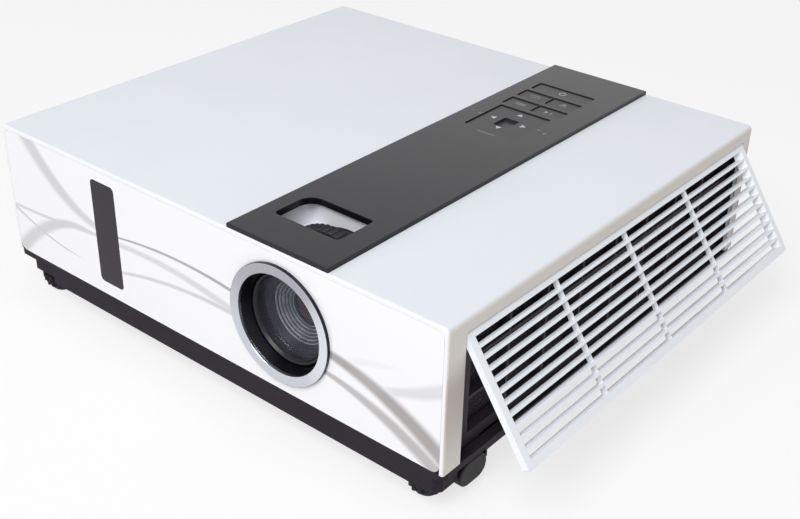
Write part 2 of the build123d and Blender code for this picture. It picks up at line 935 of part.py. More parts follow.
def grille_door():
    """Door of level slats that run its whole length, with upright ribs set back behind them."""
    x = (right - door_thick, right)
    inner, outer = widened(x, overlap)
    top = hinge_z + door_thick / 2
    door = panel("X", door_y, (door_low, top), x, door_corner)
    # the top edge is round about the hinge line, so it turns clear of the opening
    door -= block(widened(x, 1.0), widened(door_y, 1.0), (hinge_z, top + 1))
    door += rod("Y", (hinge_x, hinge_z), door_thick / 2, door_y)
    slots_top = top - door_top_bar
    pitch = (slots_top - door_low - door_bottom_bar + slat_thick) / door_slots
    slot_open = pitch - slat_thick
    lean = door_thick * slat_slope
    # the slots widen at both ends towards the outside
    slot_y = widened(door_y, -door_side)
    flare = make_face(Polyline((inner, slot_y[0]), (outer, slot_y[0] - slot_flare),
                               (outer, slot_y[1] + slot_flare), (inner, slot_y[1]), close=True))
    flare = Pos(0, 0, door_low) * extrude(flare, top - door_low)
    for row in range(door_slots):
        high = slots_top - row * pitch
        side = make_face(Polyline((inner, 0, high), (outer, 0, high - lean),
                                  (outer, 0, high - lean - slot_open), (inner, 0, high - slot_open), close=True))
        slot = Pos(0, door_y[0], 0) * extrude(side, length(door_y), dir=(0, 1, 0))
        door -= slot & flare
    bay = (length(slot_y) + door_rib) / door_columns
    for column in range(1, door_columns):
        rib_y = around(slot_y[0] + column * bay - door_rib / 2, door_rib)
        door += block((x[0], x[0] + rib_deep), rib_y, (door_low + overlap, slots_top + overlap))
    for end, outward in ((door_y[0], -1), (door_y[1], 1)):
        reach = sorted((end + outward, end - outward * (hinge_pin_length / 2 + hinge_end_gap)))
        door -= rod("Y", (hinge_x, hinge_z), hinge_pin_radius + run_gap, reach)
    return swing_door(door)


def hinge_pins():
    pins = []
    for end, outward in ((door_front, -1), (door_back, 1)):
        span = sorted((end + outward * hinge_pin_length / 2, end - outward * hinge_pin_length / 2))
        pins.append(rod("Y", (hinge_x, hinge_z), hinge_pin_radius, span))
    return pins


def filter_frame():
    frame = block(filter_x, filter_y, filter_z)
    # the front border is wider, in front of the leg of the front foot
    first_y = foot_y + leg_head_radius + filter_border
    step_y = (filter_y[1] - filter_border - first_y + filter_bar) / filter_columns
    step_z = (length(filter_z) - 2 * filter_border + filter_bar) / filter_rows
    for column in range(filter_columns):
        for row in range(filter_rows):
            y = first_y + column * step_y
            low = filter_z[0] + filter_border + row * step_z
            pane_y, pane_z = (y, y + step_y - filter_bar), (low, low + step_z - filter_bar)
            frame -= block(widened(filter_x, 1.0), pane_y, pane_z)
    return frame


def filter_foam():
    return panel("X", (foot_y + leg_head_radius + foam_from_leg, filter_y[1]), filter_z, foam_x, foam_corner)


# ---------------------------------------------------------------- base and feet

def tray_outline(inset, z):
    """Sunk part of the base: square notch at the front left, cut corner at the back."""
    x0, x1 = left + tray_left + inset, right - tray_right - inset
    y0, y1 = front + inset, back - inset
    notch_x, notch_y = left + tray_notch_x + inset, front + tray_notch_y + inset
    cut = tray_back_corner
    points = [(notch_x, y0), (x1 - tray_corner_x, y0), (x1, y0 + tray_corner_y), (x1, y1 - cut),
              (x1 - cut, y1), (x0 + cut, y1), (x0, y1 - cut), (x0, notch_y), (notch_x, notch_y)]
    return Pos(0, 0, z[0]) * extrude(make_face(Polyline(*points, close=True)), length(z))


def foot_block_spans(side):
    x = mirrored(around(foot_x - foot_block_inset, foot_block_x), side)
    return x, (foot_y - foot_block_front, foot_y - foot_block_front + foot_block_y)


def base_shell():
    rim = panel("Z", (left, right), (front, back), (rim_low, base_height), rim_corner)
    shell = rim + tray_outline(0.0, (0.0, base_height))
    inner = tray_outline(floor_thick, (floor, base_height + 1))
    shell -= inner
    # bevel under the right side
    bevel_x = right - tray_right
    bevel = make_face(Polyline((bevel_x + 1, 0, -0.1), (bevel_x - base_bevel / 2, 0, -0.1),
                               (bevel_x + 1, 0, base_bevel), close=True))
    shell -= Pos(0, front + tray_notch_y + base_bevel_start, 0) * extrude(bevel, depth, dir=(0, 1, 0))
    # pockets for the foot blocks, and notches for the release buttons
    for side in (-1, 1):
        x, y = foot_block_spans(side)
        shell -= block(widened(x, seam), widened(y, seam), (-1, rim_low))
        shell -= rod("Z", (side * foot_x, foot_y), leg_radius + leg_play, (-1, base_height + 1))
        notch_x = mirrored((side_inner - button_notch, right - tray_right + 1), side)
        notch_z = (-1.0, button_z + button_height / 2 + move_gap)
        shell -= block(notch_x, around(button_y, button_length + 2 * move_gap), notch_z)
    # gusset over the right foot block, where the rim has none
    x, y = foot_block_spans(1)
    gusset_y = (front + floor_thick, y[1] + gusset_margin)
    gusset = block(widened(x, gusset_margin), gusset_y, (rim_low, base_height))
    gusset -= rod("Z", (foot_x, foot_y), leg_radius + leg_play, (rim_low - 1, base_height + 1))
    shell += gusset
    # rear foot posts
    for side in (-1, 1):
        post_z = (rear_pad_thick - foot_height, floor / 2)
        shell += rod("Z", (side * rear_foot_x, rear_foot_y), rear_foot_radius, post_z)
    # ceiling-mount bosses
    for x, y in mount_places():
        shell += rod("Z", (x, y), boss_radius, (0.0, boss_height))
        shell -= rod("Z", (x, y), mount_hole_radius, (-1, mount_hole_deep))
    # case-screw bosses
    for x, y in case_screw_places():
        shell += rod("Z", (x, y), boss_radius, (0.0, boss_height))
        shell -= rod("Z", (x, y), screw_shank_radius, (-1, boss_height + 1))
        shell -= rod("Z", (x, y), screw_head_radius + screw_play, (-1, screw_head_height + screw_play))
    # standoffs under the boards
    for x, y in board_corners(supply_x, supply_y, standoff_inset):
        shell += rod("Z", (x, y), standoff_radius, (floor - overlap, supply_z))
    for x, y in board_corners(main_x, main_y, standoff_inset):
        shell += rod("Z", (x, y), standoff_radius, (floor - overlap, main_z))
    # grille under the speaker and the lamp hatch
    for i in range(speaker_slots):
        slot_x = speaker_x + (i - (speaker_slots - 1) / 2) * speaker_slot_step
        shell -= block(around(slot_x, speaker_slot), around(speaker_y, speaker_slot_length), (-1, floor + 1))
    shell -= block(*hatch_spans(seam), (-1, floor + 1))
    return shell


def hatch_spans(grow):
    x = widened(around(lamp_x, 2 * (lamp_half_width - hatch_margin)), grow)
    y = widened((lamp_front + hatch_margin, lamp_back - hatch_from_back), grow)
    return x, y


def lamp_hatch():
    x, y = hatch_spans(0.0)
    hatch = block(x, y, (0.0, floor))
    for i in range(-2, 3):
        groove_y = around(middle(y) + i * hatch_groove_step, hatch_groove)
        hatch -= block(widened(x, -hatch_groove_margin), groove_y, (-1, hatch_groove_deep))
    return hatch


def case_screws():
    screws = []
    for x, y in case_screw_places():
        head = rod("Z", (x, y), screw_head_radius, (seat_gap, screw_head_height + seat_gap))
        shank = rod("Z", (x, y), screw_shank_radius, (screw_head_height, boss_height))
        cross = block(around(x, screw_cross_length), around(y, screw_cross_width), (0.0, screw_cross_top))
        cross += block(around(x, screw_cross_width), around(y, screw_cross_length), (0.0, screw_cross_top))
        screws.append(head + shank - cross)
    return screws


def foot_block(side):
    """Block that guides one front leg and its release button."""
    x, y = foot_block_spans(side)
    body = block(x, y, (0.0, rim_low))
    body -= rod("Z", (side * foot_x, foot_y), leg_radius + run_gap, (-1, rim_low + 1))
    pocket_x = mirrored((foot_x + leg_radius + tongue_start, right), side)
    pocket_z = around(tongue_z, tongue_height + 2 * seat_gap)
    return body - block(pocket_x, around(button_y, tongue_width + 2 * seat_gap), pocket_z)


def foot_leg(side):
    """Threaded post: its head stops it from dropping out of the block."""
    x = side * foot_x
    top = leg_length - foot_height + leg_above_body
    leg = rod("Z", (x, foot_y), leg_radius, (leg_above_floor - foot_height, top))
    head = rod("Z", (x, foot_y), leg_head_radius, (top - leg_head_height, top))
    return leg + head


def foot_wheel(side):
    """Lobed thumb wheel with a domed tread, turning on the end of the leg."""
    x = side * foot_x
    top = -wheel_top_gap
    mid = top - wheel_tier
    low = mid - wheel_tier
    tread = -foot_height
    wheel = rod("Z", (x, foot_y), wheel_radius - wheel_lobe_radius, (mid, top))
    wheel += rod("Z", (x, foot_y), wheel_low_radius - wheel_lobe_radius, (low, mid))
    for i in range(wheel_lobes):
        angle = 2 * pi * i / wheel_lobes
        for radius, span in ((wheel_radius, (mid, top)), (wheel_low_radius, (low, mid))):
            reach = radius - wheel_lobe_radius
            wheel += rod("Z", (x + reach * cos(angle), foot_y + reach * sin(angle)), wheel_lobe_radius, span)
    dome = [(0, low + overlap), (wheel_tread_radius, low + overlap), (wheel_tread_radius, low - tread_rim),
            (wheel_tread_radius - tread_shoulder, low - tread_shoulder_low),
            (wheel_tread_radius - tread_sole, tread), (0, tread)]
    wheel += turned_upright(dome, x, foot_y)
    return wheel - rod("Z", (x, foot_y), leg_radius + run_gap, (wheel_bore_floor - foot_height, 1.0))


def release_button(side):
    outer = side_inner + button_proud
    inner = outer - button_thick
    x = mirrored((inner, outer), side)
    pad = panel("X", around(button_y, button_length), around(button_z, button_height), x, button_corner)
    pad = fillet(pad.faces().sort_by(Axis.X)[-1 if side > 0 else 0].edges(), button_edge)
    tongue_x = mirrored((foot_x + leg_radius + tongue_start + button_travel + move_gap, inner + overlap), side)
    return pad + block(tongue_x, around(button_y, tongue_width), around(tongue_z, tongue_height))


def rear_foot_pads():
    z = (-foot_height, rear_pad_thick - foot_height)
    return [rod("Z", (side * rear_foot_x, rear_foot_y), rear_pad_radius, z) for side in (-1, 1)]


# ---------------------------------------------------------------- disc player

case_inner_y = case_width / 2 - case_sheet
case_x = (left + wall + case_gap, left + wall + case_gap + case_length)
rail_span = (disc_x - rail_before_disc, case_x[1] - rail_end_gap)


def drive_case():
    """Folded sheet box, open towards the side slot, on four legs."""
    y = around(drive_y, case_width)
    z = (case_low, case_high)
    case = block(case_x, y, z)
    case -= block((case_x[0] - 1, case_x[1] - case_sheet), widened(y, -case_sheet), widened(z, -case_sheet))
    for side in (-1, 1):
        # ledges under and over each edge of the tray
        ledge_y = sorted((drive_y + side * (tray_width / 2 - ledge_grip), drive_y + side * case_inner_y))
        under = tray_plate_z - seat_gap - ledge_thick
        over = tray_plate_z + tray_plate_thick + seat_gap
        for low in (under, over):
            case += block(case_x, ledge_y, (low, low + ledge_thick))
        for x in widened(case_x, -case_leg_inset):
            leg_y = sorted((drive_y + side * (case_width / 2 - case_leg), drive_y + side * case_width / 2))
            case += block(around(x, case_leg), leg_y, (floor, case_low + overlap))
    # blocks that hold the rails and the feed screw
    holder_y = (feed_screw_y - holder_margin, drive_y + rail_y + holder_margin)
    for x in rail_span:
        case += block(around(x, holder_thick), holder_y, (case_low + overlap, rail_z + holder_above_rail))
    case += rod("Z", (gear_x, gear_y), shaft_radius, (case_low + overlap, tray_plate_z - 2 * gear_below_tray))
    for side in (-1, 1):
        case -= rod("X", (drive_y + side * rail_y, rail_z), shaft_radius, widened(rail_span, rail_in_holder))
    case -= rod("X", (feed_screw_y, rail_z), journal_radius + run_gap, widened(rail_span, holder_thick))
    motor_z = (case_low + case_sheet, rail_z + holder_margin)
    case -= rod("Z", (disc_x, drive_y), spindle_radius + seam, motor_z)
    return case


def disc_tray():
    """Drawer plate with its disc recesses, and the rack its gear drives."""
    plate_x = (left + tray_edge_gap, left + tray_length)
    plate_z = (tray_plate_z, tray_plate_z + tray_plate_thick)
    tray = panel("Z", plate_x, around(drive_y, tray_width), plate_z, tray_corner)
    tray -= rod("Z", (disc_x, drive_y), disc_radius + disc_play, (plate_z[1] - disc_recess, plate_z[1] + 1))
    tray -= rod("Z", (disc_x, drive_y), small_disc_radius, (plate_z[1] - small_disc_recess, plate_z[1] + 1))
    window = (disc_x - turntable_radius - tray_window_margin, disc_x + disc_radius + tray_window_margin)
    tray -= panel("Z", window, around(drive_y, 2 * tray_window_y), widened(plate_z, 1.0), tray_window_corner)
    # rack under the tray, with a gap between teeth facing the gear
    rack_z = (gear_low, tray_plate_z + overlap)
    pitch = pi * gear_module
    root = rack_y + tooth_root * gear_module
    tip = rack_y - tooth_tip * gear_module
    rack_x = (left + rack_inset, left + tray_length - rack_end_inset)
    tray += block(rack_x, (root, root + rack_back), rack_z)
    half_root, half_tip = tooth_share * pitch / 2 + tooth_taper, tooth_share * pitch / 2 - tooth_taper
    count = int(length(rack_x) / pitch) + 2
    for i in range(-count, count):
        x = gear_x + (i + 0.5) * pitch
        if rack_x[0] + pitch / 2 < x < rack_x[1] - pitch / 2:
            foot = root + tooth_in_rack
            tooth = make_face(Polyline((x - half_root, foot), (x + half_root, foot), (x + half_tip, tip),
                                       (x - half_tip, tip), close=True))
            tray += Pos(0, 0, rack_z[0]) * extrude(tooth, gear_width)
    return tray


def tray_front():
    """Cover strip on the outer end of the tray, flush with the left side."""
    y = around(drive_y, drawer_front_width)
    z = around(tray_plate_z + tray_plate_thick / 2, drawer_front_height)
    strip = panel("X", y, z, (left, left + wall), drawer_front_corner)
    pocket_z = widened((tray_plate_z, tray_plate_z + tray_plate_thick), seam)
    pocket_x = (left + drawer_front_skin, left + wall + 1)
    return strip - block(pocket_x, around(drive_y, tray_width + 2 * seam), pocket_z)


def loading_gear():
    """Spur gear under the tray; it turns on a post of the drive case."""
    z = (gear_low, gear_low + gear_width)
    root_r = gear_pitch_radius - tooth_root * gear_module
    tip_r = gear_pitch_radius + tooth_tip * gear_module
    half_root = tooth_share * pi * gear_module / 2 + tooth_taper
    half_tip = half_root - 2 * tooth_taper
    gear = rod("Z", (0, 0), root_r, z)
    base_r = root_r - tooth_in_rim
    for i in range(gear_teeth):
        tooth = make_face(Polyline((-half_root, base_r), (half_root, base_r), (half_tip, tip_r),
                                   (-half_tip, tip_r), close=True))
        gear += Rot(0, 0, i * 360 / gear_teeth) * Pos(0, 0, gear_low) * extrude(tooth, gear_width)
    return Pos(gear_x, gear_y, 0) * (gear - rod("Z", (0, 0), shaft_radius + run_gap, widened(z, 1.0)))


def spindle_motor():
    low = case_low + case_sheet
    motor = rod("Z", (disc_x, drive_y), spindle_radius, (low, low + spindle_height))
    return motor + rod("Z", (disc_x, drive_y), shaft_radius, (low, tray_plate_z - spindle_below_tray))


def turntable():
    low = case_low + case_sheet + spindle_height + seat_gap
    hub_top = tray_plate_z - turntable_below_tray
    disc = rod("Z", (disc_x, drive_y), turntable_radius, (low, low + turntable_thick))
    disc += rod("Z", (disc_x, drive_y), turntable_hub_radius, (low, hub_top))
    return disc - rod("Z", (disc_x, drive_y), shaft_radius + run_gap, (low - 1, hub_top - turntable_cap))


def guide_rails():
    span = widened(rail_span, rail_in_holder)
    return [rod("X", (drive_y + side * rail_y, rail_z), shaft_radius, span) for side in (-1, 1)]


def feed_screw():
    """Screw that drives the pickup, with plain journals at both ends."""
    thread = widened(rail_span, -holder_thick / 2 - seat_gap)
    screw = rod("X", (feed_screw_y, rail_z), feed_screw_radius, thread)
    return screw + rod("X", (feed_screw_y, rail_z), journal_radius, widened(rail_span, holder_thick / 2))


def laser_pickup():
    """Sled with the laser lens, on both rails and the feed screw."""
    x0 = disc_x + turntable_radius + pickup_gap
    x = (x0, x0 + pickup_length)
    z = (rail_z - pickup_below_rail, rail_z - pickup_below_rail + pickup_height)
    y = (feed_screw_y - pickup_margin, drive_y + rail_y + pickup_margin)
    body = panel("Z", x, y, z, pickup_corner)
    lens_z_span = (z[1] - overlap, z[1] + pickup_lens_proud)
    body += rod("Z", (x0 + pickup_lens_place, drive_y), pickup_lens_radius, lens_z_span)
    bores = [(drive_y + side * rail_y, shaft_radius) for side in (-1, 1)] + [(feed_screw_y, feed_screw_radius)]
    for bore_y, radius in bores:
        body -= rod("X", (bore_y, rail_z), radius + run_gap, widened(x, 1.0))
    return body


# ---------------------------------------------------------------- light engine and lamp

engine_x = around(lens_x, 2 * engine_half_width)
engine_y = (flange_back, engine_back)
engine_z = (engine_low, engine_high)
prism_y = middle(engine_y) + prism_behind_middle
reflector_mouth = lamp_front + lamp_wall + seam
reflector_end = reflector_mouth + reflector_length


def optics_housing():
    """Cast box behind the lens; the lens flange seats on its front wall."""
    box = block(engine_x, engine_y, engine_z)
    box -= block(*[widened(span, -engine_wall) for span in (engine_x, engine_y, engine_z)])
    box -= rod("Y", (lens_x, lens_z), tail_radius + seam, (engine_y[0] - 1, engine_y[0] + engine_wall + 1))
    # light inlet from the lamp, in the back wall
    inlet = (engine_back - engine_wall - 1, engine_back + 1)
    box -= rod("Y", (lamp_x - light_inlet_offset, lens_z), light_inlet_radius, inlet)
    for x, y in board_corners(engine_x, engine_y, engine_leg_inset):
        box += rod("Z", (x, y), engine_leg_radius, (floor, engine_low + overlap))
    side = prism_size + 2 * pedestal_margin
    pedestal_z = (engine_low + overlap, lens_z - prism_size / 2 - seam)
    return box + block(around(lens_x, side), around(prism_y, side), pedestal_z)


def prism_block():
    return Pos(lens_x, prism_y, lens_z) * Box(prism_size, prism_size, prism_size)


def lcd_panels():
    """Three image panels: left, right and behind the prism."""
    half = prism_size / 2
    size = prism_size - 2 * lcd_border
    low = lens_z - half - seam
    z = (low, low + prism_size)
    near = half + lcd_gap
    right_one = block((lens_x + near, lens_x + near + lcd_thick), around(prism_y, size), z)
    left_one = block((lens_x - near - lcd_thick, lens_x - near), around(prism_y, size), z)
    back_one = block(around(lens_x, size), (prism_y + near, prism_y + near + lcd_thick), z)
    return [left_one, right_one, back_one]


def lamp_housing():
    x = around(lamp_x, 2 * lamp_half_width)
    z = (lamp_low, lamp_high)
    box = block(x, (lamp_front, lamp_back), z)
    box -= block(widened(x, -lamp_wall), (lamp_front + lamp_wall, lamp_back + 1), widened(z, -lamp_wall))
    mouth = (lamp_front - 1, lamp_front + lamp_wall + 1)
    box -= rod("Y", (lamp_x, lamp_z), reflector_radius - lamp_mouth_lip, mouth)
    for px, py in board_corners(x, (lamp_front, lamp_back), lamp_leg_inset):
        box += block(around(px, lamp_leg), around(py, lamp_leg), (floor, lamp_low + overlap))
    # saddle under the reflector
    saddle_y = (lamp_front + 2 * lamp_wall, lamp_front + 2 * lamp_wall + saddle_length)
    saddle_z = (lamp_low + lamp_wall / 2, lamp_z - reflector_radius - seam)
    return box + block(around(lamp_x, saddle_width), saddle_y, saddle_z)


def lamp_reflector():
    """Glass reflector cup, open towards the light engine, with a neck behind it."""
    neck_end = reflector_end + reflector_neck_length
    bore = bulb_radius + seam
    outer = []
    for t in reflector_stations:
        radius = reflector_radius * sqrt(1 - t) + reflector_neck * t
        outer.append((radius, reflector_mouth + reflector_length * t))
    inner = [(radius - reflector_wall, y) for radius, y in outer[:-1]]
    points = [(reflector_radius - reflector_wall, reflector_mouth), (reflector_radius, reflector_mouth), *outer]
    points += [(reflector_neck, neck_end), (bore, neck_end), (bore, reflector_end - bulb_socket), *inner[::-1]]
    return Pos(lamp_x, 0, lamp_z) * revolve(make_face(Polyline(*points, close=True)), Axis.Y)


def lamp_bulb():
    end = reflector_end + reflector_neck_length
    bulb = rod("Y", (lamp_x, lamp_z), bulb_radius, (end - bulb_length, end + bulb_tail))
    return bulb + Pos(lamp_x, end - bulb_length + burner_from_end, lamp_z) * Sphere(bulb_radius + burner_swell)


# ---------------------------------------------------------------- fans

def fan_frame():
    """Square fan frame about +Z, its motor mount on three struts at the near side."""
    frame = Pos(0, 0, fan_thick / 2) * Box(fan_size, fan_size, fan_thick)
    frame -= rod("Z", (0, 0), fan_bore, (-1, fan_thick + 1))
    frame += rod("Z", (0, 0), fan_hub, (0, fan_mount_thick))
    for i in range(fan_struts):
        strut = block((fan_hub - 1, fan_bore + 1), around(0, fan_strut), (0, fan_mount_thick))
        frame += Rot(0, 0, fan_strut_angle + i * 360 / fan_struts) * strut
    return frame + rod("Z", (0, 0), shaft_radius, (fan_mount_thick - overlap, fan_thick - fan_shaft_inset))


def fan_rotor():
    low = fan_mount_thick + seat_gap
    high = fan_thick - fan_rotor_inset
    rotor = rod("Z", (0, 0), fan_hub, (low, high))
    mid = (low + high) / 2
    for i in range(fan_blades):
        blade = Box(fan_tip - fan_hub + overlap, fan_blade_thick, (high - low) * fan_blade_over)
        blade = Pos((fan_tip + fan_hub - overlap) / 2, 0, mid) * Rot(fan_blade_tilt, 0, 0) * blade
        rotor += Rot(0, 0, i * 360 / fan_blades) * blade
    rotor &= rod("Z", (0, 0), fan_tip, (low, high))
    return rotor - rod("Z", (0, 0), shaft_radius + run_gap, (low - 1, fan_thick - fan_shaft_inset + 1))


def at_intake(shape):
    return Pos(intake_fan_x, intake_fan_y, fan_z) * Rot(0, 90, 0) * shape


def at_exhaust(shape):
    return Pos(exhaust_fan_x, back - panel_thick - seat_gap, fan_z) * Rot(90, 0, 0) * shape


# ---------------------------------------------------------------- boards, sockets, speaker

def populated(x, y, z, parts):
    """Board with its larger components; each has its corner, size and height."""
    top = z + board_thick
    board = block(x, y, (z, top))
    for corner, size, height in parts:
        low_x, low_y = x[0] + corner[0], y[0] + corner[1]
        board += block((low_x, low_x + size[0]), (low_y, low_y + size[1]), (top - overlap, top + height))
    return board


def socket_places():
    """Centre x, centre z, width and height of each shelled socket."""
    low = main_z + board_thick + shell_lift
    return [(main_x[0] + share * length(main_x), low + h / 2, w, h) for share, w, h in shell_sizes]


def jack_places():
    """Centre x, centre z and radius of each round jack."""
    z = main_z + board_thick + jack_height
    return [(main_x[0] + share * length(main_x), z, radius) for share, radius in jack_sizes]


def shell_sockets():
    out = []
    body_y = (back - socket_body, back - shell_inset)
    for x, z, w, h in socket_places():
        body = block(around(x, w), body_y, (main_z + board_thick, z + h / 2))
        mouth = (back - shell_deep, back)
        out.append(body - block(around(x, w - 2 * shell_wall), mouth, around(z, h - 2 * shell_wall)))
    return out


def round_jacks():
    out = []
    body_y = (back - socket_body, back - panel_thick - shell_inset)
    for x, z, r in jack_places():
        body = block(around(x, 2 * (r + jack_wall)), body_y, (main_z + board_thick, z + r + jack_wall))
        body += rod("Y", (x, z), r, (back - jack_length, back + jack_proud))
        out.append(body - rod("Y", (x, z), r * jack_bore_share, (back - jack_bore_deep, back + jack_proud + 1)))
    return out


def mains_inlet():
    """Moulded inlet with a flange outside the rear panel and a well for the plug."""
    x = around(inlet_x, inlet_width)
    z = around(inlet_z, inlet_height)
    body = block(x, (back - inlet_depth, back), z)
    body += panel("Y", widened(x, inlet_flange), widened(z, inlet_flange), (back, back + inlet_flange_thick),
                  inlet_corner)
    return body - block(widened(x, -inlet_wall), (back - inlet_well, back + inlet_wall), widened(z, -inlet_wall))


def inlet_pins():
    pins = []
    for dx, dz in pin_places:
        pin_x, pin_z = around(inlet_x + dx, pin_width), around(inlet_z + dz, pin_height)
        pins.append(block(pin_x, (back - inlet_well, back - pin_inset), pin_z))
    return pins


def speaker():
    magnet = speaker_radius * speaker_magnet_share
    points = [(0, floor), (speaker_radius, floor), (speaker_radius, floor + speaker_rim),
              (magnet, floor + speaker_height * speaker_cone_share), (magnet, floor + speaker_height),
              (0, floor + speaker_height)]
    return turned_upright(points, speaker_x, speaker_y)


# ---------------------------------------------------------------- write every piece

def main():
    os.makedirs("parts", exist_ok=True)
    save("base_shell", base_shell())
    save("top_cover", top_cover())
    save("front_panel", front_panel())
    save("rear_panel", rear_panel())
    save("control_strip", control_strip())
    save("lens_well", lens_well())
    save("ir_window", ir_window())
    for name, (x, y) in key_spans().items():
        save(name, key_cap(x, y))
    save("key_board", key_board())
    save("nav_pivot", nav_pivot())
    save("nav_pad", nav_pad())
    save("lens_bezel", lens_bezel())
    save("lens_shroud", lens_shroud())
    save("lens_cell", lens_cell())
    save("front_glass", front_glass())
    save("lens_barrel", lens_barrel())
    save("rear_glass", rear_glass())
    save("focus_ring", grip_ring(focus_ring_radius, focus_ring_y))
    save("zoom_ring", grip_ring(zoom_ring_radius, zoom_ring_y))
    save("grille_door", grille_door())
    save("hinge_pins", *hinge_pins())
    save("filter_frame", filter_frame())
    save("filter_foam", filter_foam())
    save("lamp_hatch", lamp_hatch())
    save("case_screws", *case_screws())
    save("foot_blocks", foot_block(-1), foot_block(1))
    for side, name in ((-1, "left"), (1, "right")):
        save(f"foot_leg_{name}", foot_leg(side))
        save(f"foot_wheel_{name}", foot_wheel(side))
        save(f"release_button_{name}", release_button(side))
    save("rear_foot_pads", *rear_foot_pads())
    save("drive_case", drive_case())
    save("disc_tray", disc_tray())
    save("tray_front", tray_front())
    save("loading_gear", loading_gear())
    save("spindle_motor", spindle_motor())
    save("turntable", turntable())
    save("guide_rails", *guide_rails())
    save("feed_screw", feed_screw())
    save("laser_pickup", laser_pickup())
    save("optics_housing", optics_housing())
    save("prism_block", prism_block())
    save("lcd_panels", *lcd_panels())
    save("lamp_housing", lamp_housing())
    save("projection_lamp", lamp_reflector(), lamp_bulb())
    save("intake_fan_frame", at_intake(fan_frame()))
    save("intake_fan_rotor", at_intake(fan_rotor()))
    save("exhaust_fan_frame", at_exhaust(fan_frame()))
    save("exhaust_fan_rotor", at_exhaust(fan_rotor()))
    save("power_supply", populated(supply_x, supply_y, supply_z, supply_parts))
    save("main_board", populated(main_x, main_y, main_z, main_parts))
    save("rear_sockets", *shell_sockets(), *round_jacks())
    save("mains_inlet", mains_inlet(), *inlet_pins())
    save("speaker", speaker())


main()
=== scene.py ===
from math import cos, pi, radians, sin
from random import Random

import bmesh
import bpy
from mathutils import Euler, Matrix, Vector


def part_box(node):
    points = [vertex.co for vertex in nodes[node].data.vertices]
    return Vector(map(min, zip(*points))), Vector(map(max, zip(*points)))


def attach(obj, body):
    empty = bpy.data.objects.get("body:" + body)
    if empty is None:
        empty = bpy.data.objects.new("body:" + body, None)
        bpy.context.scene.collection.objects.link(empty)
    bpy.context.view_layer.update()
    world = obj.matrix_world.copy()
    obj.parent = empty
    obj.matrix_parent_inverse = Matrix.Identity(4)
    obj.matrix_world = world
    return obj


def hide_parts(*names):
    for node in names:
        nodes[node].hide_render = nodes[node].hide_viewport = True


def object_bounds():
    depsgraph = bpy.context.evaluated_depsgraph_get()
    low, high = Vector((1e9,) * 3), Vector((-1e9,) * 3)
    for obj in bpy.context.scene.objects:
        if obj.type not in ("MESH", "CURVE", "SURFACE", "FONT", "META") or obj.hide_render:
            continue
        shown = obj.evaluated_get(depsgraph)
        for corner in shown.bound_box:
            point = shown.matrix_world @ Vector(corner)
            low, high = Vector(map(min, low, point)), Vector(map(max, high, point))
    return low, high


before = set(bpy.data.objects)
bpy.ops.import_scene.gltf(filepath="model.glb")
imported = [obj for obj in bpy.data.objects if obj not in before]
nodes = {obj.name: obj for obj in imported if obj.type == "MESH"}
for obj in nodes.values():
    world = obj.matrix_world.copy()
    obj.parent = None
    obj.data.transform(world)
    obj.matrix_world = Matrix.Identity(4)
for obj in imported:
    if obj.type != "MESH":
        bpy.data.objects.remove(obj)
cad_low, cad_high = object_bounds()


# ---------------------------------------------------------------- camera, floor and light
# The camera stands off the front right corner, above the case, and looks down across it to the
# left, as in the photograph.  The floor is a plain pale sheet.

camera_eye = (0.4482, -0.5281, 0.4053)
camera_turn = (radians(90.0 - 30.06), 0.0, radians(39.19))
camera_tilt = radians(1.22)
camera_lens = 54.2

camera = bpy.data.objects.new("camera", bpy.data.cameras.new("camera"))
bpy.context.scene.collection.objects.link(camera)
camera.data.lens = camera_lens
camera.data.sensor_width = 36.0
camera.data.clip_start = 0.01
camera.data.dof.use_dof = False
camera_matrix = Euler(camera_turn).to_matrix() @ Matrix.Rotation(camera_tilt, 3, "Z")
camera.matrix_world = Matrix.Translation(camera_eye) @ camera_matrix.to_4x4()
bpy.context.scene.camera = camera
bpy.context.scene.view_settings.view_transform = "Standard"


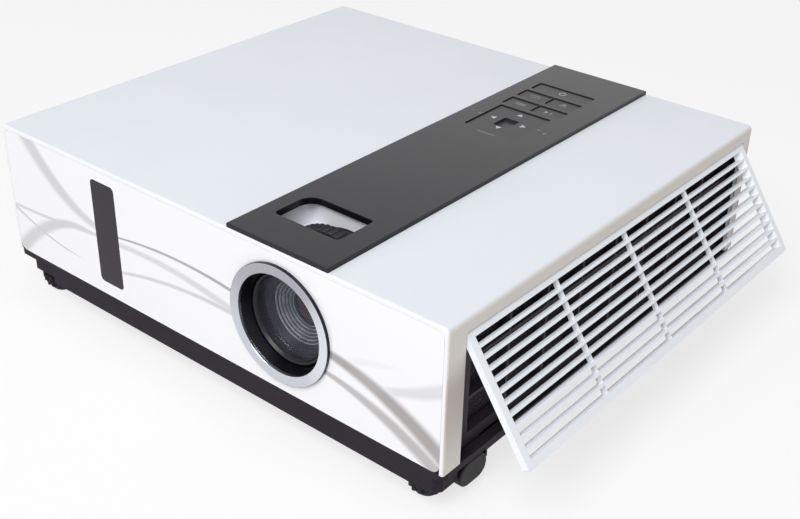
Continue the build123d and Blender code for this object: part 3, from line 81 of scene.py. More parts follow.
class Wire:
    """One socket in a node tree; arithmetic on it adds the nodes that work it out."""

    def __init__(self, tree, socket):
        self.tree = tree
        self.socket = socket

    def add(self, kind, settings=None, sockets=None, output=0):
        """Node of a type, its settings set first, then the values or links of its sockets."""
        node = self.tree.nodes.new(kind)
        for name, value in (settings or {}).items():
            setattr(node, name, value)
        for key, value in (sockets or {}).items():
            if isinstance(value, Wire):
                self.tree.links.new(value.socket, node.inputs[key])
            else:
                node.inputs[key].default_value = value
        return Wire(self.tree, node.outputs[output])

    def maths(self, operation, *values):
        kind = "ShaderNodeMath"
        if any(isinstance(v, Wire) and v.socket.type == "VECTOR" for v in values):
            kind = "ShaderNodeVectorMath"
        return self.add(kind, {"operation": operation}, dict(enumerate(values)))

    def __add__(self, other):
        return self.maths("ADD", self, other)

    def __sub__(self, other):
        return self.maths("SUBTRACT", self, other)

    def __rsub__(self, other):
        return self.maths("SUBTRACT", other, self)

    def __mul__(self, other):
        return self.maths("MULTIPLY", self, other)

    def __truediv__(self, other):
        return self.maths("DIVIDE", self, other)

    def __abs__(self):
        return self.only("ABSOLUTE")

    def only(self, operation):
        """Operation that takes this one value."""
        return self.maths(operation, self)

    def smooth(self, low, high):
        """Rises softly from 0 at low to 1 at high."""
        settings = {"interpolation_type": "SMOOTHSTEP"}
        sockets = {"Value": self, "From Min": low, "From Max": high}
        return self.add("ShaderNodeMapRange", settings, sockets)

    def split(self):
        """X, Y and Z of a vector."""
        first = self.add("ShaderNodeSeparateXYZ", None, {0: self})
        outputs = first.socket.node.outputs
        return [Wire(self.tree, outputs[i]) for i in range(3)]

    def noise(self, scale, detail=2.0, rough=0.5):
        """Value noise in metres: scale is its waves to the metre."""
        sockets = {"Vector": self, "Scale": scale, "Detail": detail, "Roughness": rough}
        return self.add("ShaderNodeTexNoise", None, sockets)

    def blend(self, first, second):
        """Colour between two colours, by this factor."""
        return self.add("ShaderNodeMix", {"data_type": "RGBA"}, {0: self, 6: first, 7: second}, 2)


world = bpy.data.worlds.new("studio")
bpy.context.scene.world = world
world.use_nodes = True
studio = Wire(world.node_tree, world.node_tree.nodes["Background"].outputs[0])
ambient = (0.372, 0.370, 0.366, 1.0)
rays = studio.add("ShaderNodeLightPath")
ray_kinds = rays.socket.node.outputs
seen = Wire(world.node_tree, ray_kinds["Is Camera Ray"])
for ray_kind in ("Is Glossy Ray", "Is Transmission Ray"):
    seen = seen.maths("MAXIMUM", seen, Wire(world.node_tree, ray_kinds[ray_kind]))
sky = seen.blend(ambient, (1.0, 1.0, 1.0, 1.0))
world.node_tree.links.new(sky.socket, world.node_tree.nodes["Background"].inputs["Color"])

# the lamp stands off the object in metres, and its power is in watts
key_power, key_size, key_distance = 37.3, 1.2, 2.2
key_from = Vector((0.17, -0.60, 0.76)).normalized()
key_light = bpy.data.lights.new("key_light", "AREA")
key_light.energy = key_power
key_light.size = key_size
key = bpy.data.objects.new("key_light", key_light)
bpy.context.scene.collection.objects.link(key)
key.location = key_from * key_distance
key.rotation_euler = key_from.to_track_quat("Z", "Y").to_euler()

floor_reach = 6.0
floor_colour = (0.885, 0.885, 0.89, 1.0)
floor_glow = 0.74
floor_mesh = bpy.data.meshes.new("floor")
corner_signs = ((-1, -1), (1, -1), (1, 1), (-1, 1))
corners = [(a * floor_reach, b * floor_reach, cad_low[2]) for a, b in corner_signs]
floor_mesh.from_pydata(corners, [], [(0, 1, 2, 3)])
floor = bpy.data.objects.new("floor", floor_mesh)
bpy.context.scene.collection.objects.link(floor)
floor_paint = bpy.data.materials.new("floor")
floor_paint.use_nodes = True
floor_mesh.materials.append(floor_paint)
tree = floor_paint.node_tree
sheet = Wire(tree, tree.nodes["Principled BSDF"].outputs[0])
path = sheet.add("ShaderNodeLightPath").socket.node.outputs
seen = Wire(tree, path["Is Camera Ray"])
seen = seen.maths("MAXIMUM", seen, Wire(tree, path["Is Glossy Ray"]))
seen = seen.maths("MAXIMUM", seen, Wire(tree, path["Is Transmission Ray"]))
tree.nodes["Principled BSDF"].inputs["Base Color"].default_value = floor_colour
tree.nodes["Principled BSDF"].inputs["Roughness"].default_value = 0.9
tree.nodes["Principled BSDF"].inputs["Specular IOR Level"].default_value = 0.0
glow = sheet.add("ShaderNodeEmission", None, {"Color": (1.0, 1.0, 1.0, 1.0), "Strength": 1.0})
lit = sheet.add("ShaderNodeMixShader", None, {0: seen * floor_glow, 1: sheet, 2: glow})
tree.links.new(lit.socket, tree.nodes["Material Output"].inputs["Surface"])


# ---------------------------------------------------------------- white case
# The top with both sides is one moulding in satin white with a faint blue cast.  The door, the
# lining of the window and the front of the disc drawer are moulded in the same plastic.

def linear(red, green, blue):
    """Colour of a surface from its 0 to 255 values."""
    out = []
    for value in (red, green, blue):
        share = value / 255.0
        out.append(share / 12.92 if share <= 0.04045 else ((share + 0.055) / 1.055) ** 2.4)
    return (*out, 1.0)


def finish(name, **plain):
    """New material: its surface shader, and the place on the object in metres."""
    paint = bpy.data.materials.new(name)
    paint.use_nodes = True
    shader = paint.node_tree.nodes["Principled BSDF"]
    for socket, value in plain.items():
        shader.inputs[socket.replace("_", " ")].default_value = value
    start = Wire(paint.node_tree, shader.outputs[0])
    place = start.add("ShaderNodeTexCoord", None, None, "Object")
    return paint, shader, place


def feed(shader, socket, wire):
    wire.tree.links.new(wire.socket, shader.inputs[socket])


def relief(shader, height, depth, strength=1.0):
    """Fine relief of a surface; depth is in metres."""
    sockets = {"Strength": strength, "Distance": depth, "Height": height}
    feed(shader, "Normal", height.add("ShaderNodeBump", None, sockets))


def moulded(name, colour, worn, rough, grain, grain_depth, **plain):
    """Moulded plastic: cloudy colour, uneven gloss, sparse specks, fine grain.

    The colour runs to the worn one in clouds and specks.  rough is the mean roughness, grain the
    waves of the grain to the metre, grain_depth their depth in metres.
    """
    paint, shader, place = finish(name, **plain)
    cloud = place.noise(9.0, 4.0)
    speck = place.noise(2600.0, 1.0).smooth(0.62, 0.74)
    smear = place.noise(38.0, 5.0, 0.6)
    shade = cloud.smooth(0.35, 0.7) * 0.5 + speck * 0.5
    feed(shader, "Base Color", shade.blend(colour, worn))
    feed(shader, "Roughness", smear * 0.16 + (rough - 0.08) + speck * 0.05)
    relief(shader, place.noise(grain, 3.0, 0.55) + cloud * 0.6, grain_depth)
    return paint


def dress(paint, *names):
    """CAD nodes that keep their shape and take this finish."""
    for name in names:
        mesh = nodes[name].data
        mesh.materials.clear()
        mesh.materials.append(paint)


# the front rim is toned a little apart from the top, and the right side carries painted shade: it is
# painted warmer and darker, and a band of deeper painted shade along its lower part fades out up and
# down
rim_front, rim_deep, rim_strength = -0.1560, 0.00025, 0.8
shaded_side_start, shaded_side_full = 0.1735, 0.1748
shade_band_start, shade_band_full, shade_band_fades, shade_band_gone = 0.010, 0.058, 0.062, 0.084
shade_band_strength = 0.6
case_white, shader, place = finish("satin_white_painted_shade")
cloud = place.noise(9.0, 4.0)
speck = place.noise(2600.0, 1.0).smooth(0.62, 0.74)
x, y, z = place.split()
rim = 1 - y.smooth(rim_front, rim_front + rim_deep)
painted_shade_band = (1 - z.smooth(shade_band_fades, shade_band_gone)) * z.smooth(shade_band_start, shade_band_full)
marks = cloud.smooth(0.35, 0.7) * 0.5 + speck * 0.5
skin = marks.blend(linear(229, 233, 241), linear(223, 227, 236))
# painted shade: the right side darker and warmer than the top, deepest in the band along its lower part
painted_side_shade = (painted_shade_band * shade_band_strength).blend(linear(222, 217, 211), linear(171, 157, 150))
skin = x.smooth(shaded_side_start, shaded_side_full).blend(skin, painted_side_shade)
feed(shader, "Base Color", (rim * rim_strength).blend(skin, linear(238, 237, 240)))
feed(shader, "Roughness", place.noise(38.0, 5.0, 0.6) * 0.16 + speck * 0.05 + 0.36)
relief(shader, place.noise(1500.0, 3.0, 0.55) + cloud * 0.6, 0.00002)
dress(case_white, "top_cover")
door_tones = linear(240, 243, 248), linear(232, 235, 240)
dress(moulded("door_white", *door_tones, 0.4, 1500.0, 0.00002), "grille_door")
lining_tones = linear(236, 237, 243), linear(226, 228, 236)
dress(moulded("lining_white", *lining_tones, 0.5, 900.0, 0.00003), "lens_well")
drawer_tones = linear(230, 234, 241), linear(222, 226, 234)
dress(moulded("drawer_white", *drawer_tones, 0.44, 1500.0, 0.00002), "tray_front")


# ---------------------------------------------------------------- front panel
# A glossy white sheet of clear-coated plastic behind the rim of the case, with soft grey
# ribbons printed under the gloss.  They are a plain pattern of flowing bands.

# of each ribbon: three points (x, z), half-widths at both ends, how dark it is, and the x where
# it starts to show, shows fully, starts to fade and is gone
ribbons = [
    (((-0.1500, 0.0995), (-0.1273, 0.0780), (-0.0938, 0.0610)),
     0.0130, 0.0042, 0.50, (-0.18, -0.17, -0.088, -0.084)),
    (((-0.0684, 0.0600), (-0.0180, 0.0650), (0.0271, 0.0628)),
     0.0010, 0.0018, 0.95, (-0.085, -0.07, 0.05, 0.06)),
    (((-0.1754, 0.0466), (-0.1303, 0.0495), (-0.0922, 0.0538)),
     0.0018, 0.0018, 0.45, (-0.19, -0.176, -0.088, -0.08)),
    (((-0.0692, 0.0551), (-0.0168, 0.0560), (0.0238, 0.0507)),
     0.0026, 0.0040, 0.42, (-0.085, -0.07, 0.05, 0.06)),
    (((-0.1711, 0.0158), (-0.1433, 0.0394), (-0.0922, 0.0538)),
     0.0105, 0.0012, 0.52, (-0.19, -0.171, -0.088, -0.08)),
    (((-0.1754, 0.0466), (-0.1411, 0.0352), (-0.1019, 0.0316)),
     0.0016, 0.0006, 0.60, (-0.19, -0.176, -0.125, -0.098)),
    (((-0.0715, 0.0355), (-0.0179, 0.0460), (0.0200, 0.0481)),
     0.0016, 0.0024, 0.50, (-0.085, -0.06, 0.05, 0.06)),
    (((0.0982, 0.0543), (0.1435, 0.0420), (0.1732, 0.0260)),
     0.0040, 0.0105, 0.98, (0.07, 0.08, 0.18, 0.19)),
    (((0.0954, 0.0417), (0.1438, 0.0290), (0.1729, 0.0145)),
     0.0022, 0.0090, 0.78, (0.07, 0.08, 0.18, 0.19)),
    (((0.1155, 0.0570), (0.1315, 0.0622), (0.1491, 0.0661)),
     0.0040, 0.0016, 0.12, (0.106, 0.122, 0.132, 0.152)),
    (((0.1324, 0.0480), (0.1584, 0.0577), (0.1722, 0.0651)),
     0.0030, 0.0070, 0.34, (0.122, 0.146, 0.18, 0.19)),
]
paint_white = linear(238, 238, 241)
ribbon_grey = linear(158, 153, 153)


def curve_through(points):
    """Constants of z = a + b x + c x x through three points."""
    (x0, z0), (x1, z1), (x2, z2) = points
    c = ((z2 - z0) / (x2 - x0) - (z1 - z0) / (x1 - x0)) / (x2 - x1)
    b = (z1 - z0) / (x1 - x0) - c * (x0 + x1)
    return z0 - b * x0 - c * x0 * x0, b, c


panel_gloss, shader, place = finish("gloss_white", Coat_Weight=0.6, Coat_Roughness=0.04)
x, _, z = place.split()
shade = None
for points, width_first, width_last, dark, fade in ribbons:
    a, b, c = curve_through(points)
    widen = (width_last - width_first) / (points[2][0] - points[0][0])
    half = (x - points[0][0]) * widen + width_first
    off = (z - (x * b + a) - x * x * c) / half
    band = (1 - abs(off).smooth(0.25, 1.0)) * dark
    band = band * x.smooth(fade[0], fade[1]) * (1 - x.smooth(fade[2], fade[3]))
    shade = band if shade is None else shade.maths("MAXIMUM", shade, band)
shade = shade.maths("MINIMUM", shade * (place.noise(30.0) * 0.3 + 0.85), 1.0)
feed(shader, "Base Color", shade.blend(paint_white, ribbon_grey))
feed(shader, "Roughness", place.noise(22.0, 4.0) * 0.1 + 0.12)
relief(shader, place.noise(60.0, 2.0), 0.00002)
dress(panel_gloss, "front_panel")


# ---------------------------------------------------------------- base, rear panel and buttons
# The base tray is moulded in charcoal plastic with a fine spark finish.  The rear panel is the
# same plastic, and the foot guides, lamp hatch and release buttons are let into the base.

dull = {"Specular_IOR_Level": 0.25}
dullest = {"Specular_IOR_Level": 0.08}
base_tones = linear(38, 34, 41), linear(48, 44, 51)
base_charcoal = moulded("charcoal", *base_tones, 0.5, 2200.0, 0.00006, **dullest)
dress(base_charcoal, "base_shell", "foot_blocks", "lamp_hatch")
rear_tones = linear(54, 52, 57), linear(64, 62, 67)
dress(moulded("rear_charcoal", *rear_tones, 0.46, 1900.0, 0.00005), "rear_panel")
button_tones = linear(17, 15, 19), linear(28, 25, 30)
button_black = moulded("button_black", *button_tones, 0.5, 1200.0, 0.00003, **dull)
dress(button_black, "release_button_left", "release_button_right")


# ---------------------------------------------------------------- control strip and keys
# A satin charcoal strip is let into the top from front to back.  Its keys and the pad are the
# same plastic, sunk a little under the face of the strip, and carry plain printed signs.

# the face pales evenly towards the back as a painted reflection, and below its top edges the strip is
# painted nearly black as painted shade on its walls
strip_front, strip_back_painted_reflection, strip_wall_painted_shade = linear(28, 26, 32), linear(64, 62, 64), linear(14, 12, 17)
strip_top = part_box("control_strip")[1][2]
edge_low, edge_high = 0.0009, 0.0005
strip_satin, shader, place = finish("strip_satin", Specular_IOR_Level=0.3)
_, y, z = place.split()
smear = place.noise(26.0, 5.0, 0.6)
speck = place.noise(2400.0, 1.0).smooth(0.64, 0.76) * 0.12
# painted reflection: the face grows paler towards the back, with real smears and specks mixed in
face = (y.smooth(-0.2, 0.19) + smear * 0.1 + speck - 0.05).blend(strip_front, strip_back_painted_reflection)
# painted shade: everything more than about a millimetre under the top of the strip is painted nearly
# black
edge = 1 - z.smooth(strip_top - edge_low, strip_top - edge_high)
feed(shader, "Base Color", edge.blend(face, strip_wall_painted_shade))
feed(shader, "Roughness", smear * 0.14 + 0.23)
relief(shader, place.noise(1800.0, 3.0, 0.55), 0.00002)
dress(strip_satin, "control_strip")
key_names = ["power_key", "key_front_left", "key_front_right", "key_rear_left", "key_rear_right"]
key_tones = linear(52, 50, 53), linear(60, 58, 61)
key_satin = moulded("key_satin", *key_tones, 0.34, 1800.0, 0.00002, Specular_IOR_Level=0.3)
dress(key_satin, *key_names, "nav_pad")

ink_height = 0.00004
ink_pale = moulded("pale_ink", linear(196, 195, 198), linear(182, 181, 185), 0.5, 3000.0, 0.00001)
ink_dull = moulded("dull_ink", linear(150, 148, 152), linear(138, 136, 140), 0.5, 3000.0, 0.00001)


def settle(name, mesh_parts, body, paint):
    """New piece from its finished bmesh, riding on a body."""
    mesh = bpy.data.meshes.new(name)
    bmesh.ops.recalc_face_normals(mesh_parts, faces=mesh_parts.faces)
    mesh_parts.to_mesh(mesh)
    mesh_parts.free()
    mesh.materials.append(paint)
    piece = bpy.data.objects.new(name, mesh)
    bpy.context.scene.collection.objects.link(piece)
    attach(piece, body)
    return piece


def printed(name, body, top, outlines, paint):
    """Raised ink on a flat face at height top: outlines of (x, y) in metres."""
    work = bmesh.new()
    for outline in outlines:
        low = [work.verts.new((x, y, top - ink_height)) for x, y in outline]
        high = [work.verts.new((x, y, top + ink_height)) for x, y in outline]
        work.faces.new(low[::-1])
        work.faces.new(high)
        for i in range(len(outline)):
            j = (i + 1) % len(outline)
            work.faces.new((low[i], low[j], high[j], high[i]))
    return settle(name, work, body, paint)


def bar(x, y, long, wide, turn=0.0):
    """Four corners of a straight stroke about a centre."""
    along = (cos(turn) * long / 2, sin(turn) * long / 2)
    across = (-sin(turn) * wide / 2, cos(turn) * wide / 2)
    signs = ((-1, -1), (1, -1), (1, 1), (-1, 1))
    return [(x + a * along[0] + b * across[0], y + a * along[1] + b * across[1]) for a, b in signs]


def open_ring(x, y, radius, wide, start, end):
    """Part of a ring, from one angle to another."""
    steps = 28
    turns = [start + (end - start) * i / steps for i in range(steps + 1)]
    outer = [(x + (radius + wide / 2) * cos(t), y + (radius + wide / 2) * sin(t)) for t in turns]
    inner = [(x + (radius - wide / 2) * cos(t), y + (radius - wide / 2) * sin(t)) for t in turns]
    return outer + inner[::-1]


def arrow(x, y, turn, long, wide):
    """Triangle with its point towards an angle."""
    point = (x + cos(turn) * long / 2, y + sin(turn) * long / 2)
    back_x, back_y = x - cos(turn) * long / 2, y - sin(turn) * long / 2
    side = (-sin(turn) * wide / 2, cos(turn) * wide / 2)
    return [point, (back_x + side[0], back_y + side[1]), (back_x - side[0], back_y - side[1])]


def middle_of(node):
    low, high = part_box(node)
    return (low[0] + high[0]) / 2, (low[1] + high[1]) / 2, high[2]


stroke = 0.0005
upright = pi / 2

# power key: an open ring with a stroke through its gap
x, y, top = middle_of("power_key")
ring_radius, ring_start, ring_end = 0.0022, radians(120), radians(420)
ring_stroke, ring_stroke_up = 0.0026, 0.0019
power_sign = [open_ring(x, y, ring_radius, stroke, ring_start, ring_end)]
power_sign.append(bar(x, y + ring_stroke_up, ring_stroke, stroke, upright))
printed("power_sign", "power_key", top, power_sign, ink_pale)

# front left key: three lines
x, y, top = middle_of("key_front_left")
line_long, line_apart = 0.0070, 0.0012
lines = [bar(x, y + d, line_long, stroke) for d in (-line_apart, 0.0, line_apart)]
printed("sign_front_left", "key_front_left", top, lines, ink_dull)

# front right key: a triangle and an upright bar
x, y, top = middle_of("key_front_right")
play_left, play_long, play_wide = 0.0018, 0.0030, 0.0034
stop_right, stop_long, stop_wide = 0.0016, 0.0030, 0.0007
play = arrow(x - play_left, y, 0.0, play_long, play_wide)
stop = bar(x + stop_right, y, stop_long, stop_wide, upright)
printed("sign_front_right", "key_front_right", top, [play, stop], ink_dull)

# rear left key: a frame
x, y, top = middle_of("key_rear_left")
frame_wide, frame_high = 0.0066, 0.0033
side_off, level_off = 0.0031, 0.0014
frame_sign = [bar(x, y + d, frame_wide, stroke) for d in (-level_off, level_off)]
frame_sign += [bar(x + d, y, frame_high, stroke, upright) for d in (-side_off, side_off)]
printed("sign_rear_left", "key_rear_left", top, frame_sign, ink_dull)

# rear right key: a triangle over a line
x, y, top = middle_of("key_rear_right")
eject_long, eject_wide, eject_up, line_down = 0.0022, 0.0050, 0.0012, 0.0014
eject = arrow(x, y + eject_up, upright, eject_long, eject_wide)
eject_line = bar(x, y - line_down, eject_wide, stroke)
printed("sign_rear_right", "key_rear_right", top, [eject, eject_line], ink_dull)

# pad: a triangle at each side, from the right one round to the front one
x, y, top = middle_of("nav_pad")
arrow_away = (0.0113, 0.0136, 0.0118, 0.0118)
arrow_up, arrow_long, arrow_wide = 0.0008, 0.0036, 0.0042
arrows = []
for quarter, away in enumerate(arrow_away):
    turn = quarter * pi / 2
    arrow_x, arrow_y = x + away * cos(turn), y + away * sin(turn) + arrow_up
    arrows.append(arrow(arrow_x, arrow_y, turn, arrow_long, arrow_wide))
printed("pad_arrows", "nav_pad", top, arrows, ink_pale)

# strip: plus and minus at both sides of the pad, and a line in front of it
mark_long = 0.0026
plus_places = ((0.0385, 0.0518), (0.0872, 0.0520))
minus_places = ((0.0320, 0.0530), (0.0815, 0.0542))
front_line_place, front_line_long = (0.0593, 0.0290), 0.0130
strip_signs = []
for (plus_x, plus_y), (minus_x, minus_y) in zip(plus_places, minus_places):
    strip_signs.append(bar(plus_x, plus_y, mark_long, stroke))
    strip_signs.append(bar(plus_x, plus_y, mark_long, stroke, upright))
    strip_signs.append(bar(minus_x, minus_y, mark_long, stroke))
strip_signs.append(bar(*front_line_place, front_line_long, stroke))
printed("strip_signs", "housing", strip_top, strip_signs, ink_dull)

window_dark, shader, place = finish("receiver_dark", Specular_IOR_Level=0.24)
feed(shader, "Base Color", place.noise(40.0).blend(linear(31, 24, 32), linear(38, 31, 39)))
feed(shader, "Roughness", place.noise(25.0, 4.0) * 0.12 + 0.12)
relief(shader, place.noise(300.0, 2.0), 0.00001)
dress(window_dark, "ir_window")


# ---------------------------------------------------------------- lens
# A bright turned ring round a glossy black recess.  Behind it the front cell holds a large
# coated glass, and its bore is cut with fine grooves and bold steps against stray light.

lens_low, lens_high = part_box("lens_cell")
lens_x = (lens_low[0] + lens_high[0]) / 2
lens_z = (lens_low[2] + lens_high[2]) / 2


def about_lens(place):
    """Distance from the lens axis, and the sideways and upward shares of it."""
    x, _, z = place.split()
    x, z = x - lens_x, z - lens_z
    return (x * x + z * z).only("SQRT"), x, z


# painted reflection in the ring's colour: darker along the top and paler below, a painted glint towards
# the right side, and painted shade on the outer wall
ring_top_painted_shade = linear(178, 176, 186)
ring_low_painted_light = linear(206, 209, 217)
ring_wall_painted_shade = linear(48, 47, 58)
ring_glint = linear(232, 236, 242)
face_radius, wall_radius = 0.03565, 0.03585
lathe_waves = 9000.0
bright_ring, shader, place = finish("bright_ring", Metallic=1.0)
radius, across, up = about_lens(place)
lathe = (radius * lathe_waves).only("SINE")
# painted reflection and painted glint, worked out from the place round the lens axis
ring_painted_reflection = (up / radius).smooth(-0.35, 0.85).blend(ring_low_painted_light, ring_top_painted_shade)
side_glint = (across / radius).smooth(0.55, 1.0) * 0.75
ring_painted_reflection = side_glint.blend(ring_painted_reflection, ring_glint)
feed(shader, "Base Color", radius.smooth(face_radius, wall_radius).blend(ring_painted_reflection, ring_wall_painted_shade))
feed(shader, "Roughness", place.noise(300.0, 3.0) * 0.1 + lathe * 0.03 + 0.19)
relief(shader, lathe, 0.0000008)
turned_steps = 144


def turned(profile):
    """Closed solid turned about the lens axis from its (radius, y) outline."""
    work = bmesh.new()
    loops = []
    for i in range(turned_steps):
        across, up = cos(2 * pi * i / turned_steps), sin(2 * pi * i / turned_steps)
        loops.append([work.verts.new((lens_x + r * across, y, lens_z + r * up)) for r, y in profile])
    for first, second in zip(loops, loops[1:] + loops[:1]):
        for j in range(len(profile)):
            k = (j + 1) % len(profile)
            work.faces.new((first[j], first[k], second[k], second[j]))
    return work


# flat face, broken outer edge, rounded inner lip, and a sleeve that sits in the front panel
(_, ring_face, _), (_, ring_back, _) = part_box("lens_bezel")
ring_outer, ring_inner = 0.0360, 0.0298
ring_seat = ring_face + 0.0020
sleeve_seat = ring_seat + 0.0002
sleeve_outer, sleeve_inner = ring_outer - 0.0036, ring_outer - 0.0050
edge_break = ((0.0, 0.0004), (0.0001, 0.00015), (0.0003, 0.00003), (0.0005, 0.0))
lip_round, lip_steps = 0.0006, 6
profile = [(ring_outer, ring_seat)] + [(ring_outer - a, ring_face + b) for a, b in edge_break]
for i in range(lip_steps + 1):
    turn = pi / 2 * i / lip_steps
    lip_radius = ring_inner + lip_round * (1 - sin(turn))
    profile.append((lip_radius, ring_face + lip_round * (1 - cos(turn))))
profile += [(ring_inner, sleeve_seat), (sleeve_inner, sleeve_seat), (sleeve_inner, ring_back)]
profile += [(sleeve_outer, ring_back), (sleeve_outer, ring_seat)]
ring = settle("turned_ring", turned(profile), "housing", bright_ring)
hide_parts("lens_bezel")

# behind the ring, a polished black recess; round the barrel, the matt black rings
shroud_tones = linear(7, 6, 13), linear(12, 11, 19)
shroud_black = moulded("shroud_black", *shroud_tones, 0.22, 900.0, 0.000004, Specular_IOR_Level=0.24)
dress(shroud_black, "lens_shroud")
barrel_tones = linear(28, 28, 31), linear(44, 44, 48)
ring_black = moulded("ring_black", *barrel_tones, 0.42, 1800.0, 0.00004, **dull)
dress(ring_black, "focus_ring", "zoom_ring", "lens_barrel")

# front cell, from its rim inwards: seat of the glass, fine grooves, bold steps, plain back bore
cell_start, cell_end = lens_low[1], lens_high[1]
cell_outer, cell_break = 0.0270, 0.0003
cell_lip = ((0.0258, 0.0), (0.0256, 0.0002), (0.0246, 0.0015), (0.02455, 0.00765))
lip_edge = 0.0257
glass_seat = cell_lip[-1][0]
groove_from = (0.0238, cell_start + 0.00765)
groove_to = (0.0190, cell_start + 0.0102)
groove_count = 6
groove_deep = 0.00012
bold_to = (0.0110, cell_start + 0.0158)
bold_count = 5
bold_undercut = 0.0001
throat_long, throat_step = 0.0040, 0.0044
back_bore = 0.0146

profile = [(cell_outer, cell_end), (cell_outer, cell_start + cell_break)]
profile += [(cell_outer - cell_break, cell_start)] + [(r, cell_start + y) for r, y in cell_lip]
step_r = (groove_from[0] - groove_to[0]) / groove_count
step_y = (groove_to[1] - groove_from[1]) / groove_count
for i in range(groove_count):
    share = i / groove_count
    r = groove_from[0] + (groove_to[0] - groove_from[0]) * share
    y = groove_from[1] + (groove_to[1] - groove_from[1]) * share
    profile += [(r, y), (r + groove_deep * 0.2, y + step_y * 0.45)]
    profile.append((r - step_r * 0.85, y + step_y * 0.55))
bold_r = (groove_to[0] - bold_to[0]) / bold_count
bold_y = (bold_to[1] - groove_to[1]) / bold_count
for i in range(bold_count):
    r, y = groove_to[0] - i * bold_r, groove_to[1] + i * bold_y
    profile += [(r, y), (r + bold_undercut, y + bold_y * 0.80)]
    profile += [(r - bold_r * 0.78, y + bold_y * 0.86), (r - bold_r, y + bold_y * 0.96)]
throat = bold_to[0] - bold_undercut
profile += [(throat, bold_to[1]), (throat, bold_to[1] + throat_long)]
profile += [(back_bore, bold_to[1] + throat_step), (back_bore, cell_end)]

cell_black, shader, place = finish("cell_black", Specular_IOR_Level=0.3)
radius, across, up = about_lens(place)
# painted highlights: a pale band on the lip of each bold step, broken up by noise, and a thin pale line
# at the front rim of the cell stand in for light catching these edges
rim_share = ((groove_to[0] - radius) / bold_r).only("FRACT")
painted_step_highlight = rim_share.smooth(0.76, 0.94) * (1 - radius.smooth(groove_to[0], groove_to[0] + 0.0004))
painted_step_highlight = painted_step_highlight * (place.noise(160.0, 3.0).smooth(0.3, 0.7) * 0.5 + 0.5)
painted_lip_highlight = 1 - abs(radius - lip_edge).smooth(0.0001, 0.0003)
flange = radius.smooth(glass_seat, glass_seat + 0.0002) * (1 - painted_lip_highlight)
bore_tone = flange.blend(linear(50, 48, 56), linear(15, 14, 19))
feed(shader, "Base Color", painted_step_highlight.blend(bore_tone, linear(168, 168, 174)))
feed(shader, "Roughness", place.noise(120.0, 3.0) * 0.12 + 0.3)
relief(shader, place.noise(300.0, 2.0), 0.000004)
cell = settle("grooved_cell", turned(profile), "front_lens", cell_black)
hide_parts("lens_cell")

# the polished glass only shows what it reflects; the rest of it is clear
clear_glass, shader, place = finish("coated_glass", Metallic=1.0)
feed(shader, "Base Color", place.noise(30.0).blend(linear(196, 214, 236), linear(214, 226, 240)))
feed(shader, "Roughness", place.noise(40.0) * 0.04 + 0.12)
feed(shader, "Alpha", place.noise(25.0) * 0.01 + 0.022)
dress(clear_glass, "front_glass", "rear_glass")

# second glass, deep in the cell: dark, with a red-brown cast from its coating
inner_radius = bold_to[0] - 0.0002
inner_front = bold_to[1] + 0.0010
inner_back = inner_front + 0.0028
bulge, bulge_steps = 0.0012, 12
pin_hole = 0.0002
profile = [(inner_radius, inner_back), (inner_radius, inner_front)]
for i in range(1, bulge_steps):
    share = 1 - i / bulge_steps
    profile.append((inner_radius * share, inner_front - bulge * (1 - share ** 2)))
profile += [(pin_hole, inner_front - bulge), (pin_hole, inner_back)]
coating = {"Coat_Weight": 0.3, "Coat_Roughness": 0.03}
dark_glass, shader, place = finish("dark_glass", Specular_IOR_Level=0.3, **coating)
radius, across, up = about_lens(place)
hue = (radius * 90.0 + place.noise(90.0, 3.0) * 0.35).smooth(0.25, 1.2)
feed(shader, "Base Color", hue.blend(linear(66, 34, 34), linear(34, 26, 32)))
feed(shader, "Roughness", place.noise(70.0) * 0.08 + 0.08)
relief(shader, place.noise(50.0), 0.00001)
settle("inner_glass", turned(profile), "front_lens", dark_glass)


# ---------------------------------------------------------------- front feet
# Each foot is a threaded steel post in its guide block, with a lobed rubber-faced wheel.  The
# thread is cut all the way up to the head that stops the post.

thread_pitch = 0.0015
thread_deep = 0.00055
leg_radius = 0.0040
leg_head = 0.0020
point_chamfer, thread_runout = 0.0006, 0.0004
head_break, crown_break = 0.0002, 0.0003
rows_per_turn = 8
thread_sides = 32


def screwed(name, body, start, along, rows, paint):
    """Round bar from (distance, radius, depth of thread) rows along an axis, 2 for Z, 0 for X."""
    work = bmesh.new()
    loops = []
    for far, radius, deep in rows:
        loop = []
        for i in range(thread_sides):
            turn = 2 * pi * i / thread_sides
            phase = (far / thread_pitch - i / thread_sides) % 1.0
            r = radius - deep * (1 - abs(2 * phase - 1))
            a, b = r * cos(turn), r * sin(turn)
            off = (far, a, b) if along == 0 else (a, b, far)
            loop.append(work.verts.new([s + o for s, o in zip(start, off)]))
        loops.append(loop)
    for first, second in zip(loops, loops[1:]):
        for i in range(thread_sides):
            j = (i + 1) % thread_sides
            work.faces.new((first[i], first[j], second[j], second[i]))
    work.faces.new(loops[0][::-1])
    work.faces.new(loops[-1])
    return settle(name, work, body, paint)


def thread_rows(start, end, radius):
    count = int((end - start) / thread_pitch * rows_per_turn)
    return [(start + (end - start) * i / count, radius, thread_deep) for i in range(count + 1)]


